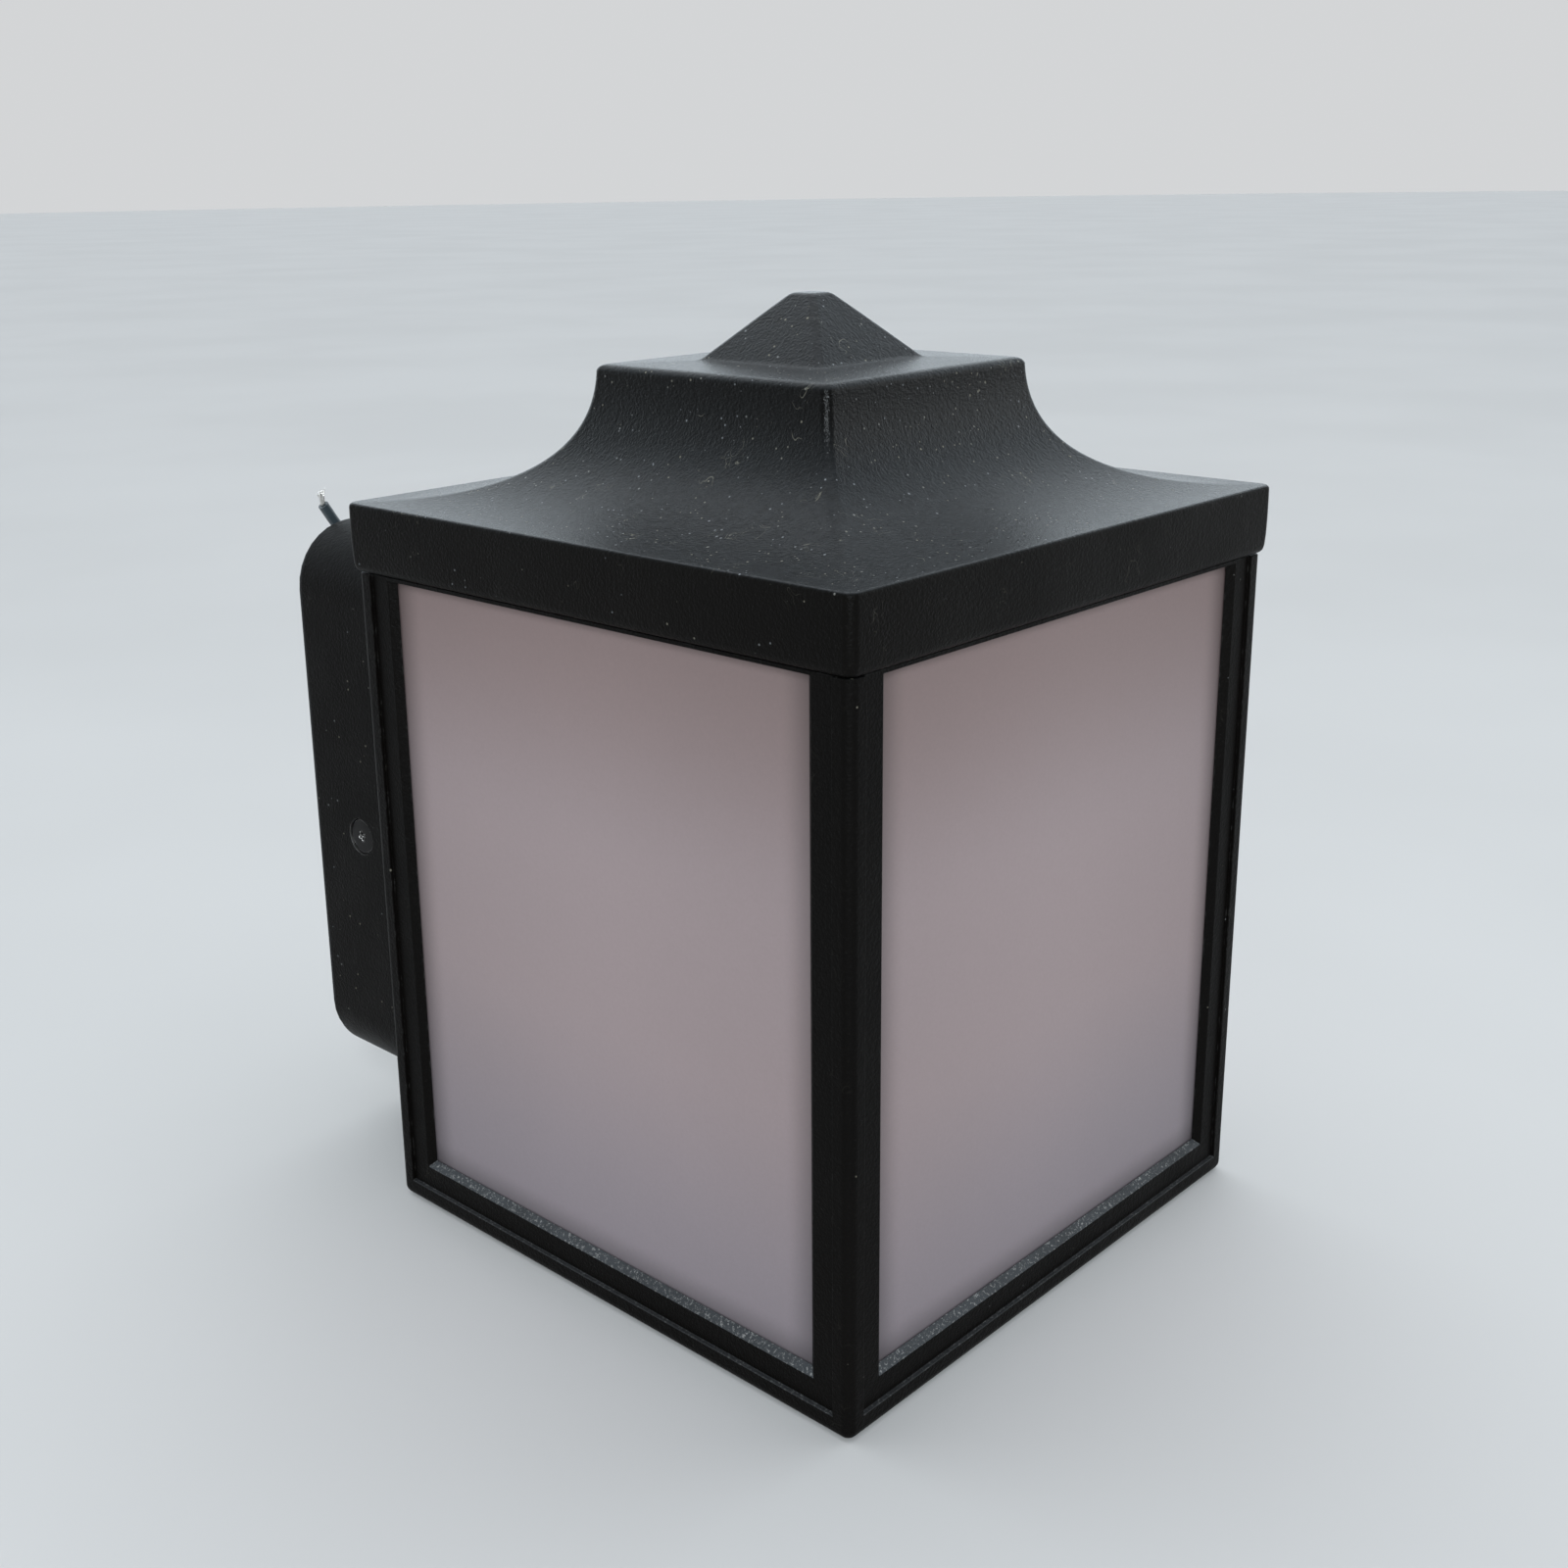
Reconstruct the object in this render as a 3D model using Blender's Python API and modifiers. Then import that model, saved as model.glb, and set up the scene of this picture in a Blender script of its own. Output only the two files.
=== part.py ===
"""Outdoor wall lantern: a square glazed lantern with a pagoda roof on a deep wall housing.

Frame: +Z up, the lantern's front faces -Y, the wall is the plane Y = 0.
The origin is the middle of the wall bracket's back face.
Every number in the constants is in millimetres; MM turns it into metres.
"""
import math

import bmesh
import bpy
from mathutils import Matrix, Vector

MM = 0.001

# ---------------------------------------------------------------- driving dimensions (mm)
GAP = 0.3                    # clearance between neighbouring pieces
BODY_HALF = 68.9             # half width of the square lantern body
YC = -108.8                  # lantern's vertical axis, measured from the wall
Z0 = -80.7                   # lantern's foot below the bracket's centre
BODY_TOP = 149.1             # shoulder of the frame, under the roof's skirt
WALL = 4.0                   # thickness of the frame's walls
BAND_OUTER = 4.3             # width of the outer, proud band round each window
BAND_STEP = 0.8              # the inner band's step down
BAND_TOTAL = 9.6             # both bands together: the window's chamfer starts here
CHAMFER = 1.9                # slope from the inner band in to the glass
WINDOW_TOP = 148.2
SPIGOT_HALF = 66.5           # collar of the frame that stands inside the skirt
SPIGOT_TOP = 154.0
LEDGE_Z = (4.2, 7.9)         # shelf inside the foot that carries the panes
LEDGE_HALF = 58.0
PANE_T = 2.0                 # pane thickness
PANE_OUT = 66.3              # each pane's outer face, 1.8 behind the inner band
PANE_HALF = 62.0
PANE_Z = (8.3, 148.4)
RETAINER_Z = (8.2, 149.7)
RETAINER_LEG = 9.0
RETAINER_T = 1.2

ROOF_T = 2.2                 # roof's wall thickness
EAVE_HALF = 70.0
EAVE_TOP = 164.1
SKIRT_BOTTOM = 149.45
NECK_HALF = 32.18            # half width of the neck under the plateau
PLATEAU_Z = 191.9
PYRAMID_HALF = 17.0
PYRAMID_TOP = 205.9

HOUSING_HALF = 58.0          # wall housing
HOUSING_Z = (18.2, 152.6)    # above the lantern's foot
HOUSING_R = 15.0
HOUSING_WALL = 3.0
HOUSING_FRONT = 70.3 + YC    # just clear of the eave
HOUSING_BACK = -1.3
SCREW_Y = -17.8              # side screws, out from the wall

LEAD_R = 1.3                 # supply leads, 2.6 mm over the insulation
CORE_R = 0.75


def zl(h):
    """Height above the lantern's foot, in the part's frame."""
    return Z0 + h


# ---------------------------------------------------------------- scene and helpers
for _o in list(bpy.data.objects):
    bpy.data.objects.remove(_o, do_unlink=True)
for _c in list(bpy.data.collections):
    bpy.data.collections.remove(_c)

PARTS = bpy.data.collections.new("outdoor_wall_lantern")
CUTTERS = bpy.data.collections.new("cutters")
bpy.context.scene.collection.children.link(PARTS)
bpy.context.scene.collection.children.link(CUTTERS)


def material(name, colour, roughness, metallic=0.0, alpha=1.0):
    m = bpy.data.materials.new(name)
    m.use_nodes = True
    b = m.node_tree.nodes["Principled BSDF"]
    b.inputs["Base Color"].default_value = (*colour, 1.0)
    b.inputs["Roughness"].default_value = roughness
    b.inputs["Metallic"].default_value = metallic
    b.inputs["Alpha"].default_value = alpha
    m.diffuse_color = (*colour, 1.0)
    return m


BLACK = material("black_textured_paint", (0.016, 0.016, 0.017), 0.42)
OPAL = material("opal_pane", (0.36, 0.33, 0.35), 0.55)
FOAM = material("black_foam", (0.02, 0.02, 0.02), 0.95)
ZINC = material("zinc_plated_steel", (0.55, 0.56, 0.57), 0.35, 1.0)
ALU = material("bare_aluminium", (0.70, 0.71, 0.72), 0.35, 1.0)
BLACK_SCREW = material("black_oxide_steel", (0.03, 0.03, 0.03), 0.3, 1.0)
GREEN_SCREW = material("green_screw", (0.02, 0.16, 0.06), 0.4, 0.4)
BOARD = material("white_circuit_board", (0.80, 0.80, 0.77), 0.5)
DRIVER = material("driver_case", (0.72, 0.72, 0.70), 0.55)
RUBBER = material("grommet_rubber", (0.02, 0.02, 0.02), 0.8)
INS_BLACK = material("insulation_black", (0.03, 0.035, 0.04), 0.4)
INS_WHITE = material("insulation_white", (0.75, 0.74, 0.70), 0.45)
INS_GREEN = material("insulation_green", (0.02, 0.22, 0.06), 0.45)
INS_RED = material("insulation_red", (0.45, 0.02, 0.02), 0.45)
COPPER = material("tinned_copper", (0.80, 0.79, 0.76), 0.3, 1.0)


def place(ob, coll, mat=None):
    coll.objects.link(ob)
    if mat is not None:
        ob.data.materials.clear()
        ob.data.materials.append(mat)
    if coll is CUTTERS:
        ob.hide_render = True
        ob.display_type = "WIRE"
    return ob


def from_bmesh(name, bm, coll, mat=None):
    bmesh.ops.recalc_face_normals(bm, faces=bm.faces)
    if bm.calc_volume(signed=True) < 0:
        bmesh.ops.reverse_faces(bm, faces=bm.faces)
    me = bpy.data.meshes.new(name)
    bm.to_mesh(me)
    bm.free()
    return place(bpy.data.objects.new(name, me), coll, mat)


def box_bm(lo, hi):
    """A cube primitive stretched to the two corners, with its scale applied."""
    bm = bmesh.new()
    bmesh.ops.create_cube(bm, size=1.0)
    size = [(b - a) * MM for a, b in zip(lo, hi)]
    mid = [(a + b) * 0.5 * MM for a, b in zip(lo, hi)]
    bmesh.ops.scale(bm, vec=size, verts=bm.verts)
    bmesh.ops.translate(bm, vec=mid, verts=bm.verts)
    return bm


def box(name, lo, hi, coll=PARTS, mat=None):
    return from_bmesh(name, box_bm(lo, hi), coll, mat)


def edges_along(bm, axis):
    """Edges that run along one axis."""
    out = []
    for e in bm.edges:
        d = (e.verts[1].co - e.verts[0].co).normalized()
        if abs(d[axis]) > 0.999:
            out.append(e)
    return out


def rounded_box(name, lo, hi, axis, radius, segments, coll=PARTS, mat=None):
    """A box whose four edges along one axis are rounded."""
    bm = box_bm(lo, hi)
    bmesh.ops.bevel(bm, geom=edges_along(bm, axis), offset=radius * MM, offset_type="OFFSET",
                    segments=segments, profile=0.5, affect="EDGES")
    return from_bmesh(name, bm, coll, mat)


AXES = {"X": Matrix.Rotation(math.pi / 2, 4, "Y"), "Y": Matrix.Rotation(-math.pi / 2, 4, "X"),
        "Z": Matrix.Identity(4)}


def rod(name, axis, centre, radius, length, coll=PARTS, mat=None, segments=20, radius2=None):
    """A cylinder (or cone) primitive lying along an axis. radius2 is its radius at the + end."""
    bm = bmesh.new()
    bmesh.ops.create_cone(bm, cap_ends=True, segments=segments, radius1=radius * MM,
                          radius2=(radius if radius2 is None else radius2) * MM, depth=length * MM)
    bm.transform(Matrix.Translation(Vector(centre) * MM) @ AXES[axis])
    ob = from_bmesh(name, bm, coll, mat)
    ob.data.shade_smooth()
    ob.data.set_sharp_from_angle(angle=math.radians(40))
    return ob


def boolean(target, tool, how="DIFFERENCE"):
    m = target.modifiers.new(how.lower() + "_" + tool.name, "BOOLEAN")
    m.operation = how
    m.solver = "EXACT"
    m.object = tool
    return m


def cut_box(target, name, lo, hi):
    boolean(target, box("cut_" + name, lo, hi, CUTTERS))


def add_box(target, name, lo, hi):
    boolean(target, box("add_" + name, lo, hi, CUTTERS), "UNION")


def cut_rod(target, name, axis, centre, radius, length, segments=20, radius2=None):
    boolean(target, rod("cut_" + name, axis, centre, radius, length, CUTTERS, None, segments, radius2))


def turned(name, profile, steps, coll=PARTS, mat=None, start=0.0):
    """A turned solid: profile points (radius, height) from the top of the axis down its outer side."""
    me = bpy.data.meshes.new(name)
    pts = [(r * MM * math.cos(start), r * MM * math.sin(start), h * MM) for r, h in profile]
    me.from_pydata(pts, [(i, i + 1) for i in range(len(pts) - 1)], [])
    ob = place(bpy.data.objects.new(name, me), coll, mat)
    s = ob.modifiers.new("turn", "SCREW")
    s.axis = "Z"
    s.angle = 2 * math.pi
    s.steps = steps
    s.render_steps = steps
    s.use_merge_vertices = True
    s.merge_threshold = 0.000005
    s.use_smooth_shade = True
    return ob


def evaluated_mesh(ob, name):
    """The mesh of an object with its modifiers applied; the object itself is removed."""
    dg = bpy.context.evaluated_depsgraph_get()
    me = bpy.data.meshes.new_from_object(ob.evaluated_get(dg))
    me.name = name
    bpy.data.objects.remove(ob, do_unlink=True)
    return me


# ---------------------------------------------------------------- screws
def phillips(target, top, size, depth):
    """Two crossed wedges cut down into a screw's head."""
    for i, ang in enumerate((0.0, math.pi / 2)):
        bm = bmesh.new()
        bmesh.ops.create_cone(bm, cap_ends=True, segments=4, radius1=size * 0.35 * MM,
                              radius2=size * MM, depth=depth * 2 * MM)
        bmesh.ops.rotate(bm, cent=(0, 0, 0), matrix=Matrix.Rotation(math.pi / 4, 3, "Z"), verts=bm.verts)
        bmesh.ops.scale(bm, vec=(1.0, 0.30, 1.0), verts=bm.verts)
        bmesh.ops.rotate(bm, cent=(0, 0, 0), matrix=Matrix.Rotation(ang, 3, "Z"), verts=bm.verts)
        bmesh.ops.translate(bm, vec=(0, 0, top * MM), verts=bm.verts)
        boolean(target, from_bmesh("cross_" + str(i) + "_" + target.name, bm, CUTTERS))


def screw_mesh(name, kind, head_r, head_h, shaft_r, length, steps=16):
    """One solid screw, its head's top at Z = 0 and its shaft down -Z. length is under the head."""
    if kind == "flat":      # countersunk
        prof = [(0, 0), (head_r, 0), (head_r, -0.3), (shaft_r, -0.3 - (head_r - shaft_r)),
                (shaft_r, -length + 0.6), (shaft_r - 0.6, -length), (0, -length)]
    else:                   # pan head, domed top
        prof = [(0, 0), (head_r * 0.55, -0.05 * head_h), (head_r * 0.88, -0.35 * head_h),
                (head_r, -0.75 * head_h), (head_r, -head_h), (shaft_r, -head_h),
                (shaft_r, -head_h - length + 0.5), (shaft_r - 0.5, -head_h - length), (0, -head_h - length)]
    ob = turned(name + "_blank", prof, steps)
    phillips(ob, 0.0, head_r * 0.62, head_h * 0.62 if kind != "flat" else 1.5)
    bpy.context.view_layer.update()
    me = evaluated_mesh(ob, name)
    me.shade_smooth()
    me.set_sharp_from_angle(angle=math.radians(35))
    for o in [o for o in CUTTERS.objects if o.name.startswith("cross_")]:
        bpy.data.objects.remove(o, do_unlink=True)
    return me


def put_screw(name, mesh, head_top, out, mat):
    """Places a screw with its head's top at a point, facing the direction 'out'. Its axis is its origin."""
    ob = bpy.data.objects.new(name, mesh)
    PARTS.objects.link(ob)
    ob.location = Vector(head_top) * MM
    ob.rotation_euler = Vector(out).to_track_quat("Z", "Y").to_euler()
    if not mesh.materials:
        mesh.materials.append(mat)
    return ob


# ---------------------------------------------------------------- lantern frame
def about_axis(bm, turn):
    """Turns a shape made for the front face to another face, about the lantern's axis."""
    bm.transform(Matrix.Translation((0, YC * MM, 0)) @ Matrix.Rotation(turn, 4, "Z"))
    return bm


def window_tool(name, w, turn):
    """A window's opening: tapered from the inner band to the glass, then straight on inwards."""
    plane = BODY_HALF - BAND_STEP
    glass = w - CHAMFER
    slope = CHAMFER / (plane - PANE_OUT)
    sill = BAND_TOTAL + 0.2
    rows = []
    for d, half, low in ((plane + 2.0, w + 2.0 * slope, sill - 2.0 * slope), (PANE_OUT, glass, sill + CHAMFER),
                         (PANE_OUT - 8.0, glass, sill + CHAMFER)):
        rows.append([(-half, -d, zl(low)), (half, -d, zl(low)), (half, -d, zl(WINDOW_TOP)), (-half, -d, zl(WINDOW_TOP))])
    bm = bmesh.new()
    rings = [[bm.verts.new(Vector(p) * MM) for p in row] for row in rows]
    for r0, r1 in zip(rings, rings[1:]):
        for k in range(4):
            bm.faces.new((r0[k], r0[(k + 1) % 4], r1[(k + 1) % 4], r1[k]))
    bm.faces.new(list(reversed(rings[0])))
    bm.faces.new(rings[-1])
    return from_bmesh(name, about_axis(bm, turn), CUTTERS)


def rebate_tool(name, turn):
    h = PANE_HALF + GAP
    bm = box_bm((-h, -(PANE_OUT + GAP), zl(PANE_Z[0] - GAP)), (h, -(PANE_OUT - 4.0), zl(PANE_Z[1] + GAP)))
    return from_bmesh(name, about_axis(bm, turn), CUTTERS)


def make_frame():
    b = BODY_HALF
    lo = (-b, YC - b, zl(0))
    hi = (b, YC + b, zl(BODY_TOP))
    bm = box_bm(lo, hi)
    # the four standing corners and the foot's edges are eased, the shoulder stays square under the roof
    ease = [e for e in bm.edges if not all(v.co.z > zl(BODY_TOP - 1) * MM for v in e.verts)]
    bmesh.ops.bevel(bm, geom=ease, offset=2.2 * MM, offset_type="OFFSET", segments=3, profile=0.5, affect="EDGES")
    fr = from_bmesh("lantern_frame", bm, PARTS, BLACK)

    s = SPIGOT_HALF
    add_box(fr, "spigot", (-s, YC - s, zl(140)), (s, YC + s, zl(SPIGOT_TOP)))
    i = b - WALL
    cut_box(fr, "cavity", (-i, YC - i, zl(LEDGE_Z[1])), (i, YC + i, zl(SPIGOT_TOP + 5)))
    cut_box(fr, "foot_recess", (-i, YC - i, zl(-5)), (i, YC + i, zl(LEDGE_Z[0])))
    # the shelf's opening is a cross, which leaves a pad for a screw in each corner
    k, m = LEDGE_HALF, LEDGE_HALF - 5.0
    cut_box(fr, "shelf_x", (-k, YC - m, zl(2)), (k, YC + m, zl(10)))
    cut_box(fr, "shelf_y", (-m, YC - k, zl(2)), (m, YC + k, zl(10)))
    # bands: the inner band of each glazed face lies one step back
    t = b - BAND_OUTER
    w = b - BAND_TOTAL
    top = BODY_TOP + 0.2
    cut_box(fr, "step_front", (-t, YC - b - 5, zl(BAND_OUTER + 0.3)), (t, YC - b + BAND_STEP, zl(top)))
    cut_box(fr, "step_left", (-b - 5, YC - t, zl(BAND_OUTER + 0.3)), (-b + BAND_STEP, YC + t, zl(top)))
    cut_box(fr, "step_right", (b - BAND_STEP, YC - t, zl(BAND_OUTER + 0.3)), (b + 5, YC + t, zl(top)))
    # windows: each has chamfered sides and sill, a straight head, and a rebate inside for its pane
    for n, turn in (("front", 0.0), ("left", -math.pi / 2), ("right", math.pi / 2)):
        boolean(fr, window_tool("cut_window_" + n, w, turn))
        boolean(fr, rebate_tool("cut_rebate_" + n, turn))
    # lugs for the roof screws
    for sx in (-1, 1):
        for sy in (-1, 1):
            x0, x1 = sorted((sx * 51.5, sx * (s - 1)))
            y0, y1 = sorted((sy * 51.5, sy * (s - 1)))
            n = ("l" if sx < 0 else "r") + ("f" if sy < 0 else "b")
            add_box(fr, "lug_" + n, (x0, YC + y0, zl(150.0)), (x1, YC + y1, zl(SPIGOT_TOP)))
            cut_rod(fr, "roof_screw_" + n, "Z", (sx * ROOF_SCREW, YC + sy * ROOF_SCREW, zl(152)), 2.1, 9, 16)
            cut_rod(fr, "base_screw_" + n, "Z", (sx * BASE_SCREW, YC + sy * BASE_SCREW, zl(6)), 1.9, 9, 16)
    # back wall: wire way and the housing's four screws
    cut_rod(fr, "wire_way", "Y", (0, YC + b - 2, WIRE_Z), 5.0, 12, 24)
    for n, x, z in HOUSING_SCREWS:
        cut_rod(fr, "housing_screw_" + n, "Y", (x, YC + b - 2, z), 2.0, 12, 16)
    return fr


ROOF_SCREW = 56.5
BASE_SCREW = 59.0
WIRE_Z = 60.0
HOUSING_SCREWS = [("tl", -46.0, 59.3), ("tr", 46.0, 59.3), ("bl", -46.0, -52.7), ("br", 46.0, -52.7)]

make_frame()

# ---------------------------------------------------------------- panes and what holds them
in_face = BODY_HALF - WALL - GAP             # just clear of the frame's inside
in_back = PANE_OUT - PANE_T
box("pane_front", (-PANE_HALF, YC - PANE_OUT, zl(PANE_Z[0])), (PANE_HALF, YC - in_back, zl(PANE_Z[1])), PARTS, OPAL)
for side, sx in (("left", -1), ("right", 1)):
    x0, x1 = sorted((sx * PANE_OUT, sx * in_back))
    box("pane_" + side, (x0, YC - PANE_HALF, zl(PANE_Z[0])), (x1, YC + PANE_HALF, zl(PANE_Z[1])), PARTS, OPAL)

r0 = in_back - GAP                            # faces that press on the panes
for side, sx in (("left", -1), ("right", 1)):
    # an angle strip in each front corner
    x0, x1 = sorted((sx * r0, sx * (r0 - RETAINER_LEG)))
    o = box("pane_retainer_front_" + side, (x0, YC - r0, zl(RETAINER_Z[0])), (x1, YC - r0 + RETAINER_LEG, zl(RETAINER_Z[1])), PARTS, BLACK)
    c0, c1 = sorted((sx * (r0 - RETAINER_T), sx * (r0 - RETAINER_LEG - 5)))
    cut_box(o, "angle_" + side, (c0, YC - r0 + RETAINER_T, zl(RETAINER_Z[0] - 5)), (c1, YC - r0 + RETAINER_LEG + 5, zl(RETAINER_Z[1] + 5)))
    # a flat strip at each back corner
    x0, x1 = sorted((sx * r0, sx * (r0 - RETAINER_T)))
    box("pane_retainer_back_" + side, (x0, YC + in_face - RETAINER_LEG, zl(RETAINER_Z[0])), (x1, YC + in_face, zl(RETAINER_Z[1])), PARTS, BLACK)

# ---------------------------------------------------------------- base plate
bp = box("base_plate", (-in_face, YC - in_face, zl(1.7)), (in_face, YC + in_face, zl(LEDGE_Z[0] - GAP)), PARTS, BLACK)
screw_m3 = screw_mesh("base_screw_mesh", "pan", 2.9, 1.6, 1.5, 5.6)
for n, sx, sy in (("front_left", -1, -1), ("front_right", 1, -1), ("back_left", -1, 1), ("back_right", 1, 1)):
    cut_rod(bp, "base_plate_" + n, "Z", (sx * BASE_SCREW, YC + sy * BASE_SCREW, zl(3)), 1.9, 9, 16)
    put_screw("base_screw_" + n, screw_m3, (sx * BASE_SCREW, YC + sy * BASE_SCREW, zl(1.4 - 1.6 + 0.3)), (0, 0, -1), ZINC)


# ---------------------------------------------------------------- roof
def sweep(n):
    """The roof's concave sweep, from the neck down to the eave, as (half width, height)."""
    p = [(NECK_HALF, 190.8), (NECK_HALF + 0.6, 179.05), (38.7, EAVE_TOP), (69.4, EAVE_TOP)]
    out = []
    for i in range(n + 1):
        t = i / n
        c = ((1 - t) ** 3, 3 * (1 - t) ** 2 * t, 3 * (1 - t) * t * t, t ** 3)
        out.append(tuple(sum(c[j] * p[j][k] for j in range(4)) for k in (0, 1)))
    return out


def make_roof():
    prof = [(0.0, PYRAMID_TOP), (2.4, PYRAMID_TOP), (3.9, PYRAMID_TOP - 0.5), (PYRAMID_HALF - 0.6, 192.9),
            (PYRAMID_HALF + 0.4, 192.3), (30.6, PLATEAU_Z - 0.2), (31.6, PLATEAU_Z - 0.5)]
    prof += sweep(13)
    prof += [(69.85, EAVE_TOP - 0.5), (EAVE_HALF, EAVE_TOP - 1.1), (EAVE_HALF, 156.5), (69.75, 150.6),
             (69.3, SKIRT_BOTTOM)]
    # four steps of a turned profile, its corners on the diagonals, make the square roof
    me = bpy.data.meshes.new("roof_cap")
    q = math.sqrt(2.0) * MM * math.cos(math.pi / 4)
    me.from_pydata([(u * q, u * q, zl(h) * MM) for u, h in prof], [(i, i + 1) for i in range(len(prof) - 1)], [])
    tmp = place(bpy.data.objects.new("roof_skin", me), PARTS, BLACK)
    s = tmp.modifiers.new("turn", "SCREW")
    s.axis = "Z"
    s.angle = 2 * math.pi
    s.steps = 4
    s.render_steps = 4
    s.use_merge_vertices = True
    s.merge_threshold = 0.000005
    bpy.context.view_layer.update()
    skin = evaluated_mesh(tmp, "roof_cap")
    # ease the four ridges and the skirt's corners
    bm = bmesh.new()
    bm.from_mesh(skin)
    ridge = []
    for e in bm.edges:
        a, b = e.verts[0].co, e.verts[1].co
        diag = all(abs(abs(v.x) - abs(v.y)) < 1e-6 and abs(v.x) > 0.5 * MM for v in (a, b))
        if diag and a.x * b.x > 0 and a.y * b.y > 0:
            ridge.append(e)
    bmesh.ops.bevel(bm, geom=ridge, offset=1.8 * MM, offset_type="OFFSET", segments=2, profile=0.5, affect="EDGES")
    bmesh.ops.translate(bm, vec=(0, YC * MM, 0), verts=bm.verts)
    roof = from_bmesh("roof_cap", bm, PARTS, BLACK)
    t = roof.modifiers.new("shell", "SOLIDIFY")
    t.thickness = ROOF_T * MM
    t.offset = -1.0
    t.use_even_offset = True
    t.use_rim = True
    for sx in (-1, 1):
        for sy in (-1, 1):
            n = ("l" if sx < 0 else "r") + ("f" if sy < 0 else "b")
            c = (sx * ROOF_SCREW, YC + sy * ROOF_SCREW)
            boolean(roof, rod("add_boss_" + n, "Z", (*c, zl(160.4)), 4.0, 6.0, CUTTERS, None, 16), "UNION")
            cut_rod(roof, "boss_" + n, "Z", (*c, zl(159.4)), 2.0, 7.0, 16)
    return roof


make_roof()

# ---------------------------------------------------------------- under the roof: seal, heat sink, light
seal = box("roof_seal", (-66.4, YC - 66.4, zl(154.3)), (66.4, YC + 66.4, zl(155.3)), PARTS, FOAM)
cut_box(seal, "seal_middle", (-60.5, YC - 52.0, zl(150)), (60.5, YC + 52.0, zl(160)))
cut_box(seal, "seal_middle_2", (-52.0, YC - 60.5, zl(150)), (52.0, YC + 60.5, zl(160)))
sink = box("heat_sink_plate", (-66.2, YC - 66.2, zl(155.6)), (66.2, YC + 66.2, zl(157.1)), PARTS, ALU)
board = box("led_board", (-35, YC - 35, zl(153.7)), (35, YC + 35, zl(155.3)), PARTS, BOARD)
for ix in range(4):
    for iy in range(4):
        x, y = -24 + 16 * ix, YC - 24 + 16 * iy
        add_box(board, "chip_%d%d" % (ix, iy), (x - 1.8, y - 1.8, zl(152.9)), (x + 1.8, y + 1.8, zl(154.5)))
screw_m35 = screw_mesh("roof_screw_mesh", "pan", 3.2, 1.9, 1.65, 12.6)
screw_brd = screw_mesh("board_screw_mesh", "pan", 2.7, 1.5, 1.3, 3.2)
for n, sx, sy in (("front_left", -1, -1), ("front_right", 1, -1), ("back_left", -1, 1), ("back_right", 1, 1)):
    c = (sx * ROOF_SCREW, YC + sy * ROOF_SCREW)
    cut_rod(seal, "seal_" + n, "Z", (*c, zl(155)), 2.2, 6, 16)
    cut_rod(sink, "sink_" + n, "Z", (*c, zl(156)), 2.1, 6, 16)
    put_screw("roof_screw_" + n, screw_m35, (*c, zl(150.0 - GAP - 1.9)), (0, 0, -1), ZINC)
for n, sx in (("left", -1), ("right", 1)):
    cut_rod(board, "board_screw_" + n, "Z", (sx * 30.5, YC, zl(154)), 1.7, 6, 16)
    cut_rod(sink, "sink_board_screw_" + n, "Z", (sx * 30.5, YC, zl(156)), 1.7, 6, 16)
    put_screw("board_screw_" + n, screw_brd, (sx * 30.5, YC, zl(153.7 - GAP - 1.5)), (0, 0, -1), ZINC)

# ---------------------------------------------------------------- wall housing
hz0, hz1 = zl(HOUSING_Z[0]), zl(HOUSING_Z[1])
hw = rounded_box("wall_housing", (-HOUSING_HALF, HOUSING_FRONT, hz0), (HOUSING_HALF, HOUSING_BACK, hz1), 1, HOUSING_R, 8, PARTS, BLACK)
ti = HOUSING_WALL
boolean(hw, rounded_box("cut_housing_hollow", (-HOUSING_HALF + ti, HOUSING_FRONT + ti, hz0 + ti),
                        (HOUSING_HALF - ti, 5, hz1 - ti), 1, HOUSING_R - ti, 8, CUTTERS))
cut_rod(hw, "housing_wire_way", "Y", (0, HOUSING_FRONT + 2, WIRE_Z), 5.0, 12, 24)
for n, x, z in HOUSING_SCREWS:
    cut_rod(hw, "housing_hole_" + n, "Y", (x, HOUSING_FRONT + 2, z), 2.1, 12, 16)
for n, sx in (("left", -1), ("right", 1)):
    # a boss behind the side wall takes the side screw; the bracket's ear slides in between the two
    x0, x1 = sorted((sx * 44.5, sx * 52.9))
    add_box(hw, "screw_boss_" + n, (x0, HOUSING_FRONT + 1, -5.5), (x1, -12.5, 5.5))
    cut_rod(hw, "screw_hole_" + n, "X", (sx * 50, SCREW_Y, 0), 2.2, 30, 20)
    cone = rod("cut_countersink_" + n, "X", (sx * (HOUSING_HALF - 1.95), SCREW_Y, 0), 4.45 if sx < 0 else 2.0, 2.45, CUTTERS, None, 24, 2.0 if sx < 0 else 4.45)
    boolean(hw, cone)
    cut_rod(hw, "counterbore_" + n, "X", (sx * (HOUSING_HALF + 0.6), SCREW_Y, 0), 4.45, 2.7, 24)
for n, x in (("a", -35.5), ("b", 35.5)):
    cut_rod(hw, "driver_hole_" + n, "Y", (x, HOUSING_FRONT + 2, 35.0), 1.8, 12, 16)
cut_rod(hw, "ground_hole", "Y", (-24, HOUSING_FRONT + 2, -24), 1.8, 12, 16)

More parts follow.
